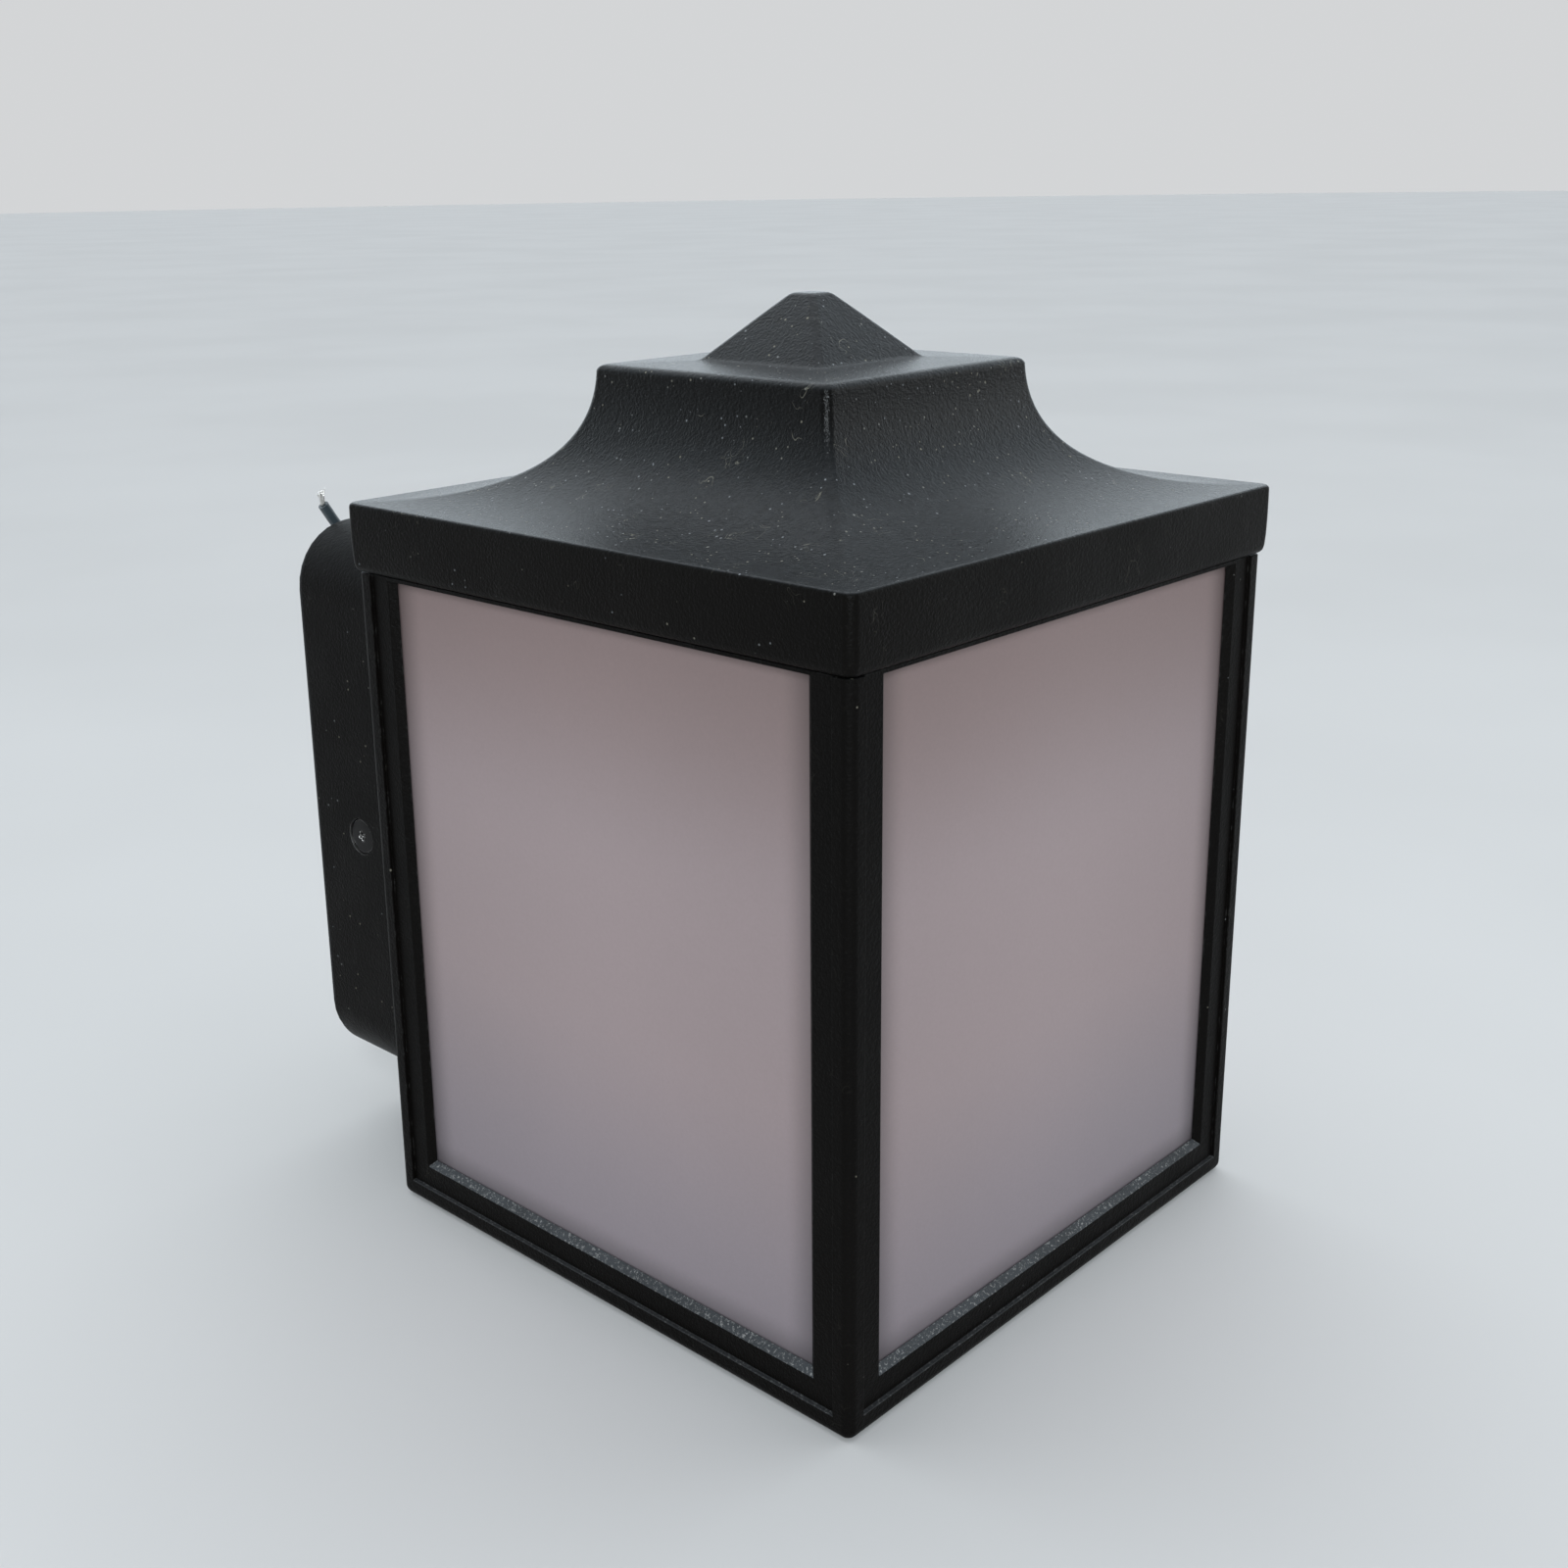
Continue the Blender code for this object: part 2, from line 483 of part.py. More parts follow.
gk = rounded_box("housing_gasket", (-55.5, YC + BODY_HALF + GAP, -60.0), (55.5, HOUSING_FRONT - GAP, 68.0), 1, 12.5, 6, PARTS, FOAM)
cut_rod(gk, "gasket_wire_way", "Y", (0, HOUSING_FRONT, WIRE_Z), 5.2, 12, 24)
for n, x, z in HOUSING_SCREWS:
    cut_rod(gk, "gasket_hole_" + n, "Y", (x, HOUSING_FRONT, z), 2.3, 12, 16)
screw_hs = screw_mesh("housing_screw_mesh", "pan", 3.4, 2.0, 1.65, 8.2)
for n, x, z in HOUSING_SCREWS:
    name = {"tl": "top_left", "tr": "top_right", "bl": "bottom_left", "br": "bottom_right"}[n]
    put_screw("housing_screw_" + name, screw_hs, (x, HOUSING_FRONT + ti + GAP + 2.0, z), (0, 1, 0), ZINC)

wg = rounded_box("wall_gasket", (-57.6, -1.0, hz0 + 0.4), (57.6, 0.0, hz1 - 0.4), 1, 14.6, 8, PARTS, FOAM)
boolean(wg, rounded_box("cut_wall_gasket", (-55.2, -5, hz0 + 2.8), (55.2, 5, hz1 - 2.8), 1, 12.2, 8, CUTTERS))

# grommet through the housing's front, the gasket and the frame's back wall
f0, f1 = HOUSING_FRONT + ti + GAP, YC + BODY_HALF - WALL - GAP      # the two inner faces it grips
gr = turned("wire_grommet", [(2.6, f0 + 1.5), (6.3, f0 + 1.5), (6.3, f0), (4.6, f0), (4.6, f1), (6.3, f1),
                             (6.3, f1 - 1.5), (2.6, f1 - 1.5), (2.6, f0 + 1.5)], 20, PARTS, RUBBER)
gr.matrix_world = Matrix.Translation((0, 0, WIRE_Z * MM)) @ Matrix.Rotation(-math.pi / 2, 4, "X")

# ---------------------------------------------------------------- side screws
screw_side = screw_mesh("side_screw_mesh", "flat", 4.1, 0.0, 1.9, 11.2, 24)
put_screw("side_screw_left", screw_side, (-HOUSING_HALF + 0.3, SCREW_Y, 0), (-1, 0, 0), BLACK_SCREW)
put_screw("side_screw_right", screw_side, (HOUSING_HALF - 0.3, SCREW_Y, 0), (1, 0, 0), BLACK_SCREW)

# ---------------------------------------------------------------- wall bracket
ear_o, ear_t = HOUSING_HALF - ti - GAP, 1.5
br = box("wall_bracket", (-ear_o, -ear_t, -13.0), (ear_o, 0.0, 13.0), PARTS, ZINC)
for n, sx in (("left", -1), ("right", 1)):
    x0, x1 = sorted((sx * ear_o, sx * (ear_o - ear_t)))
    add_box(br, "ear_" + n, (x0, -25.0, -8.5), (x1, -0.5, 8.5))
    # the ear's slot is open at its front, so a loosened side screw slides out of it
    cut_rod(br, "ear_slot_end_" + n, "X", (sx * 54, SCREW_Y, 0), 2.4, 8, 20)
    s0, s1 = sorted((sx * 50, sx * 58))
    cut_box(br, "ear_slot_" + n, (s0, -30.0, -2.4), (s1, SCREW_Y, 2.4))
    # mounting slots for the wall box's screws, 70 to 89 mm apart
    s0, s1 = sorted((sx * 33.5, sx * 45.5))
    cut_box(br, "mount_slot_" + n, (s0, -5, -2.6), (s1, 5, 2.6))
    for j, x in enumerate((33.5, 45.5)):
        cut_rod(br, "mount_slot_end_%s_%d" % (n, j), "Y", (sx * x, 0, 0), 2.6, 10, 16)
cut_rod(br, "bracket_ground_hole", "Y", (18, 0, 0), 2.2, 10, 16)
screw_gd = screw_mesh("ground_screw_mesh", "pan", 3.9, 2.3, 1.9, 1.6)
put_screw("bracket_ground_screw", screw_gd, (18, -ear_t - GAP - 2.3, 0), (0, -1, 0), GREEN_SCREW)

# ---------------------------------------------------------------- driver
dy0 = HOUSING_FRONT + ti + GAP
dr = rounded_box("led_driver", (-31, dy0, 21.0), (31, dy0 + 17.0, 49.0), 1, 2.0, 2, PARTS, DRIVER)
add_box(dr, "driver_tabs", (-40.5, dy0, 29.5), (40.5, dy0 + 1.8, 40.5))
screw_dr = screw_mesh("driver_screw_mesh", "pan", 3.0, 1.8, 1.45, 4.6)
for n, x in (("left", -35.5), ("right", 35.5)):
    cut_rod(dr, "driver_tab_" + n, "Y", (x, dy0, 35.0), 1.8, 10, 16)
    put_screw("driver_screw_" + n, screw_dr, (x, dy0 + 1.8 + GAP + 1.8, 35.0), (0, 1, 0), ZINC)

# ground lug on the housing's front wall
gt = rod("ground_terminal", "Y", (-24, dy0 + 0.4, -24), 4.0, 0.8, PARTS, COPPER, 20)
add_box(gt, "terminal_barrel", (-25.6, dy0, -35.0), (-22.4, dy0 + 0.8, -25.0))
boolean(gt, rod("add_terminal_crimp", "Z", (-24, dy0 + 1.6, -34.0), 1.6, 6.0, CUTTERS, None, 12), "UNION")
cut_rod(gt, "terminal_hole", "Y", (-24, dy0, -24), 1.8, 10, 16)
put_screw("ground_terminal_screw", screw_dr, (-24, dy0 + 0.8 + GAP + 1.8, -24), (0, 1, 0), GREEN_SCREW)


# ---------------------------------------------------------------- leads
def smooth_route(points, step):
    """Points a step apart along a centripetal Catmull-Rom curve through the route's own points."""
    P = [Vector(p) for p in points]
    P = [P[0] * 2 - P[1]] + P + [P[-1] * 2 - P[-2]]
    fine = []
    for k in range(1, len(P) - 2):
        p0, p1, p2, p3 = P[k - 1:k + 3]
        t0 = 0.0
        t1 = t0 + (p1 - p0).length ** 0.5
        t2 = t1 + (p2 - p1).length ** 0.5
        t3 = t2 + (p3 - p2).length ** 0.5
        for s in range(24):
            t = t1 + (t2 - t1) * s / 24
            a1 = (t1 - t) / (t1 - t0) * p0 + (t - t0) / (t1 - t0) * p1
            a2 = (t2 - t) / (t2 - t1) * p1 + (t - t1) / (t2 - t1) * p2
            a3 = (t3 - t) / (t3 - t2) * p2 + (t - t2) / (t3 - t2) * p3
            b1 = (t2 - t) / (t2 - t0) * a1 + (t - t0) / (t2 - t0) * a2
            b2 = (t3 - t) / (t3 - t1) * a2 + (t - t1) / (t3 - t1) * a3
            fine.append((t2 - t) / (t2 - t1) * b1 + (t - t1) / (t2 - t1) * b2)
    fine.append(P[-2])
    cum = [0.0]
    for a, b in zip(fine, fine[1:]):
        cum.append(cum[-1] + (b - a).length)
    n = max(3, round(cum[-1] / step))
    out, j = [], 0
    for i in range(n + 1):
        d = cum[-1] * i / n
        while j < len(cum) - 2 and cum[j + 1] < d:
            j += 1
        f = (d - cum[j]) / (cum[j + 1] - cum[j])
        out.append(fine[j].lerp(fine[j + 1], f))
    return out, cum[-1]


def wire(name, pts, radius, mat):
    cu = bpy.data.curves.new(name, "CURVE")
    cu.dimensions = "3D"
    cu.bevel_depth = radius * MM
    cu.bevel_resolution = 2
    cu.use_fill_caps = True
    cu.resolution_u = 1
    cu.render_resolution_u = 0
    sp = cu.splines.new("POLY")
    sp.points.add(len(pts) - 1)
    for i, p in enumerate(pts):
        sp.points[i].co = (*(Vector(p) * MM), 1.0)
    ob = bpy.data.objects.new(name, cu)
    PARTS.objects.link(ob)
    cu.materials.append(mat)
    return ob


# route of each supply lead: out of the driver (or the ground lug), then out of the housing's open back
LEAD_ROUTES = {
    "lead_black": [(-31.3, -26.0, 40.0), (-38.0, -26.0, 39.3), (-45.0, -24.0, 32.5), (-46.5, -20.5, 22.0),
                   (-40.0, -16.5, 12.0), (-28.0, -13.5, 8.0), (-15.5, -12.5, 12.0), (-8.5, -12.0, 22.0),
                   (-9.5, -10.5, 33.5), (-17.0, -6.0, 44.0), (-27.5, -0.3, 53.0), (-36.5, 3.8, 61.8),
                   (-41.9, 5.0, 68.8), (-45.9, 5.0, 74.8)],
    "lead_white": [(31.3, -26.0, 40.0), (38.0, -26.0, 39.3), (45.0, -24.0, 32.5), (46.5, -20.5, 22.0),
                   (40.5, -16.5, 12.0), (29.5, -13.8, 5.5), (19.0, -12.3, -2.0), (16.5, -10.5, -14.0),
                   (24.5, -5.0, -24.5), (31.5, 1.5, -35.0), (30.5, 6.7, -47.0), (27.0, 8.6, -60.0),
                   (26.5, 8.0, -74.5)],
    "lead_ground": [(-24.0, -31.9, -37.5), (-24.3, -31.6, -43.5), (-29.0, -30.5, -51.5), (-39.5, -27.0, -55.0),
                    (-48.7, -23.0, -46.5), (-49.5, -18.5, -33.0), (-43.0, -14.5, -21.0), (-32.0, -11.0, -16.6),
                    (-22.7, -7.0, -22.8), (-20.5, -2.0, -33.5), (-19.5, 3.5, -44.0), (-18.5, 7.3, -54.5),
                    (-18.0, 8.3, -64.5), (-18.5, 8.0, -74.8)],
}
TIP = 3.4
LEAD_LENGTHS = {}
for name, mat in (("lead_black", INS_BLACK), ("lead_white", INS_WHITE), ("lead_ground", INS_GREEN)):
    pts, length = smooth_route(LEAD_ROUTES[name], 6.0)
    LEAD_LENGTHS[name] = length
    wire(name, pts, LEAD_R, mat)
    d = (pts[-1] - pts[-2]).normalized()
    a = pts[-1] + d * GAP
    if name == "lead_black":
        e = a + Vector((-0.1, 0.0, 1.0)) * TIP
    else:
        e = a + d * TIP
    wire(name + "_tip", [a, a.lerp(e, 0.35) + d * 0.15, e], CORE_R, COPPER)

# low-voltage pair from the driver through the grommet to the board
for name, x, mat in (("led_wire_red", -1.15, INS_RED), ("led_wire_black", 1.15, INS_BLACK)):
    route = [(x * 3, dy0 + 8.0, 49.4), (x * 3, dy0 + 7.6, 54.5), (x * 1.2, dy0 + 4.0, 59.0), (x, dy0, 60.0), (x, dy0 - 6.0, 60.0),
             (x, f1 - 3.0, 60.0), (x, f1 - 8.0, 61.5), (x * 1.5, f1 - 17.0, 67.0), (x * 2, YC + 36.5, 70.6), (x * 2, YC + 32.5, zl(152.1))]
    pts, _ = smooth_route(route, 3.2)
    wire(name, pts, 0.8, mat)
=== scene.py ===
"""Looks of the outdoor wall lantern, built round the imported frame.

Frame: +Z up, the lantern's front faces -Y, the wall is the plane Y = 0. Constants are in millimetres.
"""
import math
import random

import bmesh
import bpy
from mathutils import Matrix, Vector


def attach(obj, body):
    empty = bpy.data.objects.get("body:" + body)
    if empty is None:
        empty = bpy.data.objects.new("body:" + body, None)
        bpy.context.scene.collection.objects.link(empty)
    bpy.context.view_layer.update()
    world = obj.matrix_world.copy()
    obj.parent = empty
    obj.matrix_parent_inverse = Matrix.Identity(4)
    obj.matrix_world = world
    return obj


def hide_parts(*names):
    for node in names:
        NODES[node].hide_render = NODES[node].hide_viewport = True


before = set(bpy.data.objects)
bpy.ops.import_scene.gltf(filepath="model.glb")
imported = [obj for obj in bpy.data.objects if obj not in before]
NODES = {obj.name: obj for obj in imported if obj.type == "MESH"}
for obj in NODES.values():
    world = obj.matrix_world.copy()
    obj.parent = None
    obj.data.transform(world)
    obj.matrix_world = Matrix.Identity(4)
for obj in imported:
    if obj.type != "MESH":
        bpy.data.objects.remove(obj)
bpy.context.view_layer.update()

MM = 0.001

# ---------------------------------------------------------------- dimensions, as in the CAD (mm)
GAP = 0.3
BODY_HALF = 68.9
YC = -108.8
Z0 = -80.7
BODY_TOP = 149.1
WALL = 4.0
BAND_OUTER = 4.3
BAND_STEP = 0.8
BAND_TOTAL = 9.6
CHAMFER = 1.9
WINDOW_TOP = 148.2
SPIGOT_HALF = 66.5
SPIGOT_TOP = 154.0
LEDGE_Z = (4.2, 7.9)
LEDGE_HALF = 58.0
PANE_T = 2.0
PANE_OUT = 66.3
PANE_HALF = 62.0
PANE_Z = (8.3, 148.4)
EAVE_HALF = 70.0
EAVE_TOP = 164.1
SKIRT_BOTTOM = 149.45
NECK_HALF = 32.18
PLATEAU_Z = 191.9
PYRAMID_HALF = 17.0
PYRAMID_TOP = 205.9
ROOF_T = 2.2
HOUSING_HALF = 58.0
HOUSING_Z = (18.2, 152.6)
HOUSING_R = 15.0
HOUSING_WALL = 3.0
HOUSING_FRONT = 70.3 + YC
HOUSING_BACK = -1.3
SCREW_Y = -17.8
ROOF_SCREW = 56.5
BASE_SCREW = 59.0
WIRE_Z = 60.0
HOUSING_SCREWS = [("tl", -46.0, 59.3), ("tr", 46.0, 59.3), ("bl", -46.0, -52.7), ("br", 46.0, -52.7)]
LEAD_R = 1.3


def zl(h):
    """Height above the lantern's foot, in the part's frame."""
    return Z0 + h


# ---------------------------------------------------------------- camera
cam_data = bpy.data.cameras.new("camera")
cam = bpy.data.objects.new("camera", cam_data)
bpy.context.scene.collection.objects.link(cam)
cam_data.sensor_width = 36.0
cam_data.lens = 43.059
cam_data.shift_x = 0.02444
cam_data.shift_y = -0.03642
cam_data.clip_start, cam_data.clip_end = 0.01, 50.0
right = Vector((0.6845461315, -0.7288257004, -0.0144807573))
down = Vector((-0.2177741889, -0.1855051212, -0.9582078328))
forward = Vector((0.6956802401, 0.6590910003, -0.2857062422))
rot = Matrix((right, -down, -forward)).transposed()
cam.rotation_mode = "QUATERNION"
cam.rotation_quaternion = rot.to_quaternion()
cam.location = (-0.298117, -0.370806, 0.149970)
bpy.context.scene.camera = cam


# ---------------------------------------------------------------- node helpers
def new_material(name):
    m = bpy.data.materials.new(name)
    m.use_nodes = True
    nt = m.node_tree
    b = nt.nodes["Principled BSDF"]
    return m, nt, b


def node(nt, kind, inputs=None, **props):
    n = nt.nodes.new(kind)
    for k, v in props.items():
        setattr(n, k, v)
    for k, v in (inputs or {}).items():
        s = n.inputs[k]
        if isinstance(v, bpy.types.NodeSocket):
            nt.links.new(v, s)
        else:
            s.default_value = v
    return n


def math_node(nt, op, a, b=None, clamp=False):
    n = nt.nodes.new("ShaderNodeMath")
    n.operation = op
    n.use_clamp = clamp
    for i, v in enumerate((a, b)):
        if v is None:
            continue
        if isinstance(v, bpy.types.NodeSocket):
            nt.links.new(v, n.inputs[i])
        else:
            n.inputs[i].default_value = v
    return n.outputs[0]


def remap(nt, value, a, b, c=0.0, d=1.0, smooth=True):
    n = node(nt, "ShaderNodeMapRange", {"Value": value, "From Min": a, "From Max": b, "To Min": c, "To Max": d})
    n.interpolation_type = "SMOOTHSTEP" if smooth else "LINEAR"
    n.clamp = True
    return n.outputs["Result"]


def mix_colour(nt, fac, a, b, blend="MIX"):
    n = nt.nodes.new("ShaderNodeMix")
    n.data_type = "RGBA"
    n.blend_type = blend
    n.clamp_factor = True
    for s, v in ((n.inputs[0], fac), (n.inputs[6], a), (n.inputs[7], b)):
        if isinstance(v, bpy.types.NodeSocket):
            nt.links.new(v, s)
        elif isinstance(v, (int, float)):
            s.default_value = v
        else:
            s.default_value = (*v, 1.0)
    return n.outputs[2]


def place_node(nt):
    return node(nt, "ShaderNodeTexCoord").outputs["Object"]


def noise(nt, where, scale, detail=2.0, rough=0.5, distortion=0.0, stretch=None):
    if stretch is not None:
        where = node(nt, "ShaderNodeMapping", {"Vector": where, "Scale": stretch}).outputs[0]
    return node(nt, "ShaderNodeTexNoise", {"Vector": where, "Scale": scale, "Detail": detail, "Roughness": rough,
                                           "Distortion": distortion}).outputs["Fac"]


def bump(nt, height, strength, distance, normal=None):
    n = node(nt, "ShaderNodeBump", {"Height": height, "Strength": strength, "Distance": distance})
    if normal is not None:
        nt.links.new(normal, n.inputs["Normal"])
    return n.outputs["Normal"]


def specks(nt, where, scale, radius, keep):
    """Small round specks: one in some of the cells of a Voronoi pattern."""
    v = node(nt, "ShaderNodeTexVoronoi", {"Vector": where, "Scale": scale, "Randomness": 1.0})
    size = node(nt, "ShaderNodeSeparateColor", {"Color": v.outputs["Color"]})
    chosen = math_node(nt, "GREATER_THAN", size.outputs[0], 1.0 - keep)
    r = math_node(nt, "MULTIPLY", size.outputs[1], radius)
    near = math_node(nt, "SUBTRACT", r, v.outputs["Distance"])
    near = remap(nt, near, 0.0, radius * 0.35)
    return math_node(nt, "MULTIPLY", near, chosen)


def edge_mask(nt, radius):
    """1 along convex and concave edges, 0 on flats."""
    bev = node(nt, "ShaderNodeBevel", {"Radius": radius}, samples=4)
    geo = node(nt, "ShaderNodeNewGeometry")
    dot = node(nt, "ShaderNodeVectorMath", {0: bev.outputs[0], 1: geo.outputs["Normal"]}, operation="DOT_PRODUCT")
    return remap(nt, dot.outputs["Value"], 0.995, 0.90)


# ---------------------------------------------------------------- materials
def paint(name, base, rough, dust=0.25, flecks=0.3, wear=0.5, film=0.3, grain=1.0, spec=0.2):
    """Sand-textured black paint on cast metal."""
    m, nt, b = new_material(name)
    p = place_node(nt)
    fine = noise(nt, p, 1500.0, 2.0, 0.7)
    mid = noise(nt, p, 620.0, 3.0, 0.6)
    broad = noise(nt, p, 38.0, 5.0, 0.6)
    patch = noise(nt, p, 11.0, 4.0, 0.55)
    n = bump(nt, mid, 0.55 * grain, 0.00016)
    n = bump(nt, fine, 1.0 * grain, 0.00018, n)
    nt.links.new(n, b.inputs["Normal"])
    up = node(nt, "ShaderNodeSeparateXYZ", {"Vector": node(nt, "ShaderNodeTexCoord").outputs["Normal"]}).outputs["Z"]
    up = remap(nt, up, 0.05, 0.95)
    c = mix_colour(nt, remap(nt, patch, 0.35, 0.7), base, tuple(v * 1.4 for v in base))
    c = mix_colour(nt, math_node(nt, "MULTIPLY", remap(nt, fine, 0.56, 0.74), 0.5), c, tuple(v * 2.2 + 0.001 for v in base))
    # thin film of dust on what faces up
    f = math_node(nt, "MULTIPLY", up, remap(nt, noise(nt, p, 520.0, 4.0, 0.6), 0.15, 0.85, 0.30, 0.80))
    c = mix_colour(nt, math_node(nt, "MULTIPLY", f, film), c, (0.080, 0.090, 0.098))
    # specks of dust and of pale grit, most of them where they can lie
    s1 = specks(nt, p, 160.0, 0.060, dust * 0.40)
    s2 = specks(nt, p, 340.0, 0.12, dust * 0.75)
    s3 = specks(nt, p, 760.0, 0.22, dust * 0.60)
    s = math_node(nt, "MAXIMUM", math_node(nt, "MAXIMUM", s1, s2), s3)
    amount = math_node(nt, "ADD", math_node(nt, "MULTIPLY", up, 0.45), 0.55)
    s = math_node(nt, "MULTIPLY", s, amount)
    tone = mix_colour(nt, remap(nt, noise(nt, p, 70.0, 1.0), 0.42, 0.58), (0.36, 0.34, 0.27), (0.34, 0.36, 0.38))
    c = mix_colour(nt, math_node(nt, "MULTIPLY", s, 0.60), c, tone)
    # short curled hairs and scuffs
    line = noise(nt, p, 150.0, 1.0, 0.5, 2.2)
    line = remap(nt, math_node(nt, "ABSOLUTE", math_node(nt, "SUBTRACT", line, 0.5)), 0.010, 0.0)
    where = remap(nt, noise(nt, p, 105.0, 1.0, 0.5), 0.63, 0.68)
    line = math_node(nt, "MULTIPLY", math_node(nt, "MULTIPLY", line, where), flecks)
    c = mix_colour(nt, line, c, (0.26, 0.25, 0.20))
    # rubbed edges
    if wear:
        e = math_node(nt, "MULTIPLY", edge_mask(nt, 0.0004), remap(nt, noise(nt, p, 420.0, 4.0, 0.7), 0.52, 0.66))
        c = mix_colour(nt, math_node(nt, "MULTIPLY", e, wear), c, (0.12, 0.12, 0.115))
    nt.links.new(c, b.inputs["Base Color"])
    r = remap(nt, broad, 0.3, 0.7, rough[0], rough[1])
    r = math_node(nt, "ADD", r, math_node(nt, "MULTIPLY", s, 0.3), True)
    nt.links.new(r, b.inputs["Roughness"])
    b.inputs["Specular IOR Level"].default_value = spec
    return m


PAINT = paint("black_paint", (0.0024, 0.0020, 0.0017), (0.38, 0.50), dust=0.08, flecks=0.06, wear=0.25, film=0.10, spec=0.055)
PAINT_ROOF = paint("black_paint_roof", (0.0022, 0.0021, 0.0020), (0.245, 0.275), dust=0.95, flecks=0.55, wear=0.25, film=0.30, spec=0.14)
PAINT_SKIRT = paint("black_paint_skirt", (0.0026, 0.0022, 0.0018), (0.36, 0.48), dust=0.14, flecks=0.12, wear=0.25, film=0.10, spec=0.06)
PAINT_IN = paint("black_sheet", (0.010, 0.010, 0.010), (0.40, 0.55), dust=0.1, flecks=0.2, wear=0.2, film=0.05, grain=0.5)


def dusty_ledge(name, dust, base):
    """The window's sill, where dust and rough paint collect."""
    m, nt, b = new_material(name)
    p = place_node(nt)
    coarse = noise(nt, p, 1500.0, 4.0, 0.8)
    broad = noise(nt, p, 70.0, 4.0, 0.6)
    grey = remap(nt, broad, 0.3, 0.65, 0.55, 1.0)
    c = mix_colour(nt, math_node(nt, "MULTIPLY", grey, dust), base, (0.050, 0.056, 0.062))
    f = math_node(nt, "MULTIPLY", remap(nt, coarse, 0.54, 0.62), grey)
    c = mix_colour(nt, math_node(nt, "MULTIPLY", f, dust), c, (0.34, 0.34, 0.33))
    nt.links.new(c, b.inputs["Base Color"])
    nt.links.new(remap(nt, coarse, 0.3, 0.7, 0.42, 0.75), b.inputs["Roughness"])
    nt.links.new(bump(nt, coarse, 0.8, 0.00015), b.inputs["Normal"])
    b.inputs["Specular IOR Level"].default_value = 0.3
    return m


LEDGE = dusty_ledge("dusty_sill", 0.75, (0.010, 0.0105, 0.011))
STEP = dusty_ledge("dusty_step", 0.22, (0.006, 0.006, 0.006))


OPAL_TOP = (0.308, 0.228, 0.220)
OPAL_MID = (0.312, 0.249, 0.252)
OPAL_LOW = (0.300, 0.259, 0.281)


def opal(name, across):
    """Frosted opal pane, with painted shade: its colour is darker towards its upright edges, its sill and its top
    under the eave.

    across is the axis that runs along the pane. Both upright edges are treated alike.
    """
    m, nt, b = new_material(name)
    p = place_node(nt)
    xyz = node(nt, "ShaderNodeSeparateXYZ", {"Vector": p})
    w = (BODY_HALF - BAND_TOTAL - CHAMFER) * MM
    if across == "X":
        u = xyz.outputs["X"]
    else:
        u = math_node(nt, "SUBTRACT", xyz.outputs["Y"], YC * MM)
    d_side = math_node(nt, "SUBTRACT", w, math_node(nt, "ABSOLUTE", u))
    z = xyz.outputs["Z"]
    d_low = math_node(nt, "SUBTRACT", z, zl(11.7) * MM)
    d_top = math_node(nt, "SUBTRACT", zl(WINDOW_TOP) * MM, z)
    # painted shade: darker towards the upright edges, the sill and the top under the eave
    k = remap(nt, d_side, -0.002, 0.007, 0.52, 1.0)
    k = math_node(nt, "MULTIPLY", k, remap(nt, d_side, 0.0, 0.050, 0.92, 1.0, False))
    k = math_node(nt, "MULTIPLY", k, remap(nt, d_low, -0.001, 0.006, 0.62, 1.0))
    k = math_node(nt, "MULTIPLY", k, remap(nt, d_low, 0.0, 0.050, 0.82, 1.0, False))
    k = math_node(nt, "MULTIPLY", k, remap(nt, d_top, -0.0005, 0.0025, 0.88, 1.0))
    k = math_node(nt, "MULTIPLY", k, remap(nt, d_top, 0.0, 0.052, 0.72, 1.0))
    cloud = noise(nt, p, 24.0, 3.0, 0.5)
    k = math_node(nt, "MULTIPLY", k, remap(nt, cloud, 0.25, 0.75, 0.98, 1.02, False))
    grit = noise(nt, p, 1500.0, 2.0, 0.6)
    k = math_node(nt, "MULTIPLY", k, remap(nt, grit, 0.2, 0.8, 0.97, 1.03, False))
    tone = mix_colour(nt, remap(nt, d_top, 0.0, 0.045), OPAL_TOP, OPAL_MID)
    tone = mix_colour(nt, remap(nt, d_low, 0.060, 0.0), tone, OPAL_LOW)
    # the painted shade, with a faint random mottle, multiplied into the tone
    painted_shade_and_mottle = node(nt, "ShaderNodeCombineColor", {0: k, 1: k, 2: k}).outputs[0]
    c = mix_colour(nt, 1.0, tone, painted_shade_and_mottle, "MULTIPLY")
    s = specks(nt, p, 85.0, 0.022, 0.35)
    c = mix_colour(nt, math_node(nt, "MULTIPLY", s, 0.55), c, (0.07, 0.06, 0.06))
    nt.links.new(c, b.inputs["Base Color"])
    nt.links.new(remap(nt, cloud, 0.3, 0.7, 0.50, 0.62), b.inputs["Roughness"])
    b.inputs["Specular IOR Level"].default_value = 0.3
    nt.links.new(bump(nt, grit, 0.12, 0.00004), b.inputs["Normal"])
    return m


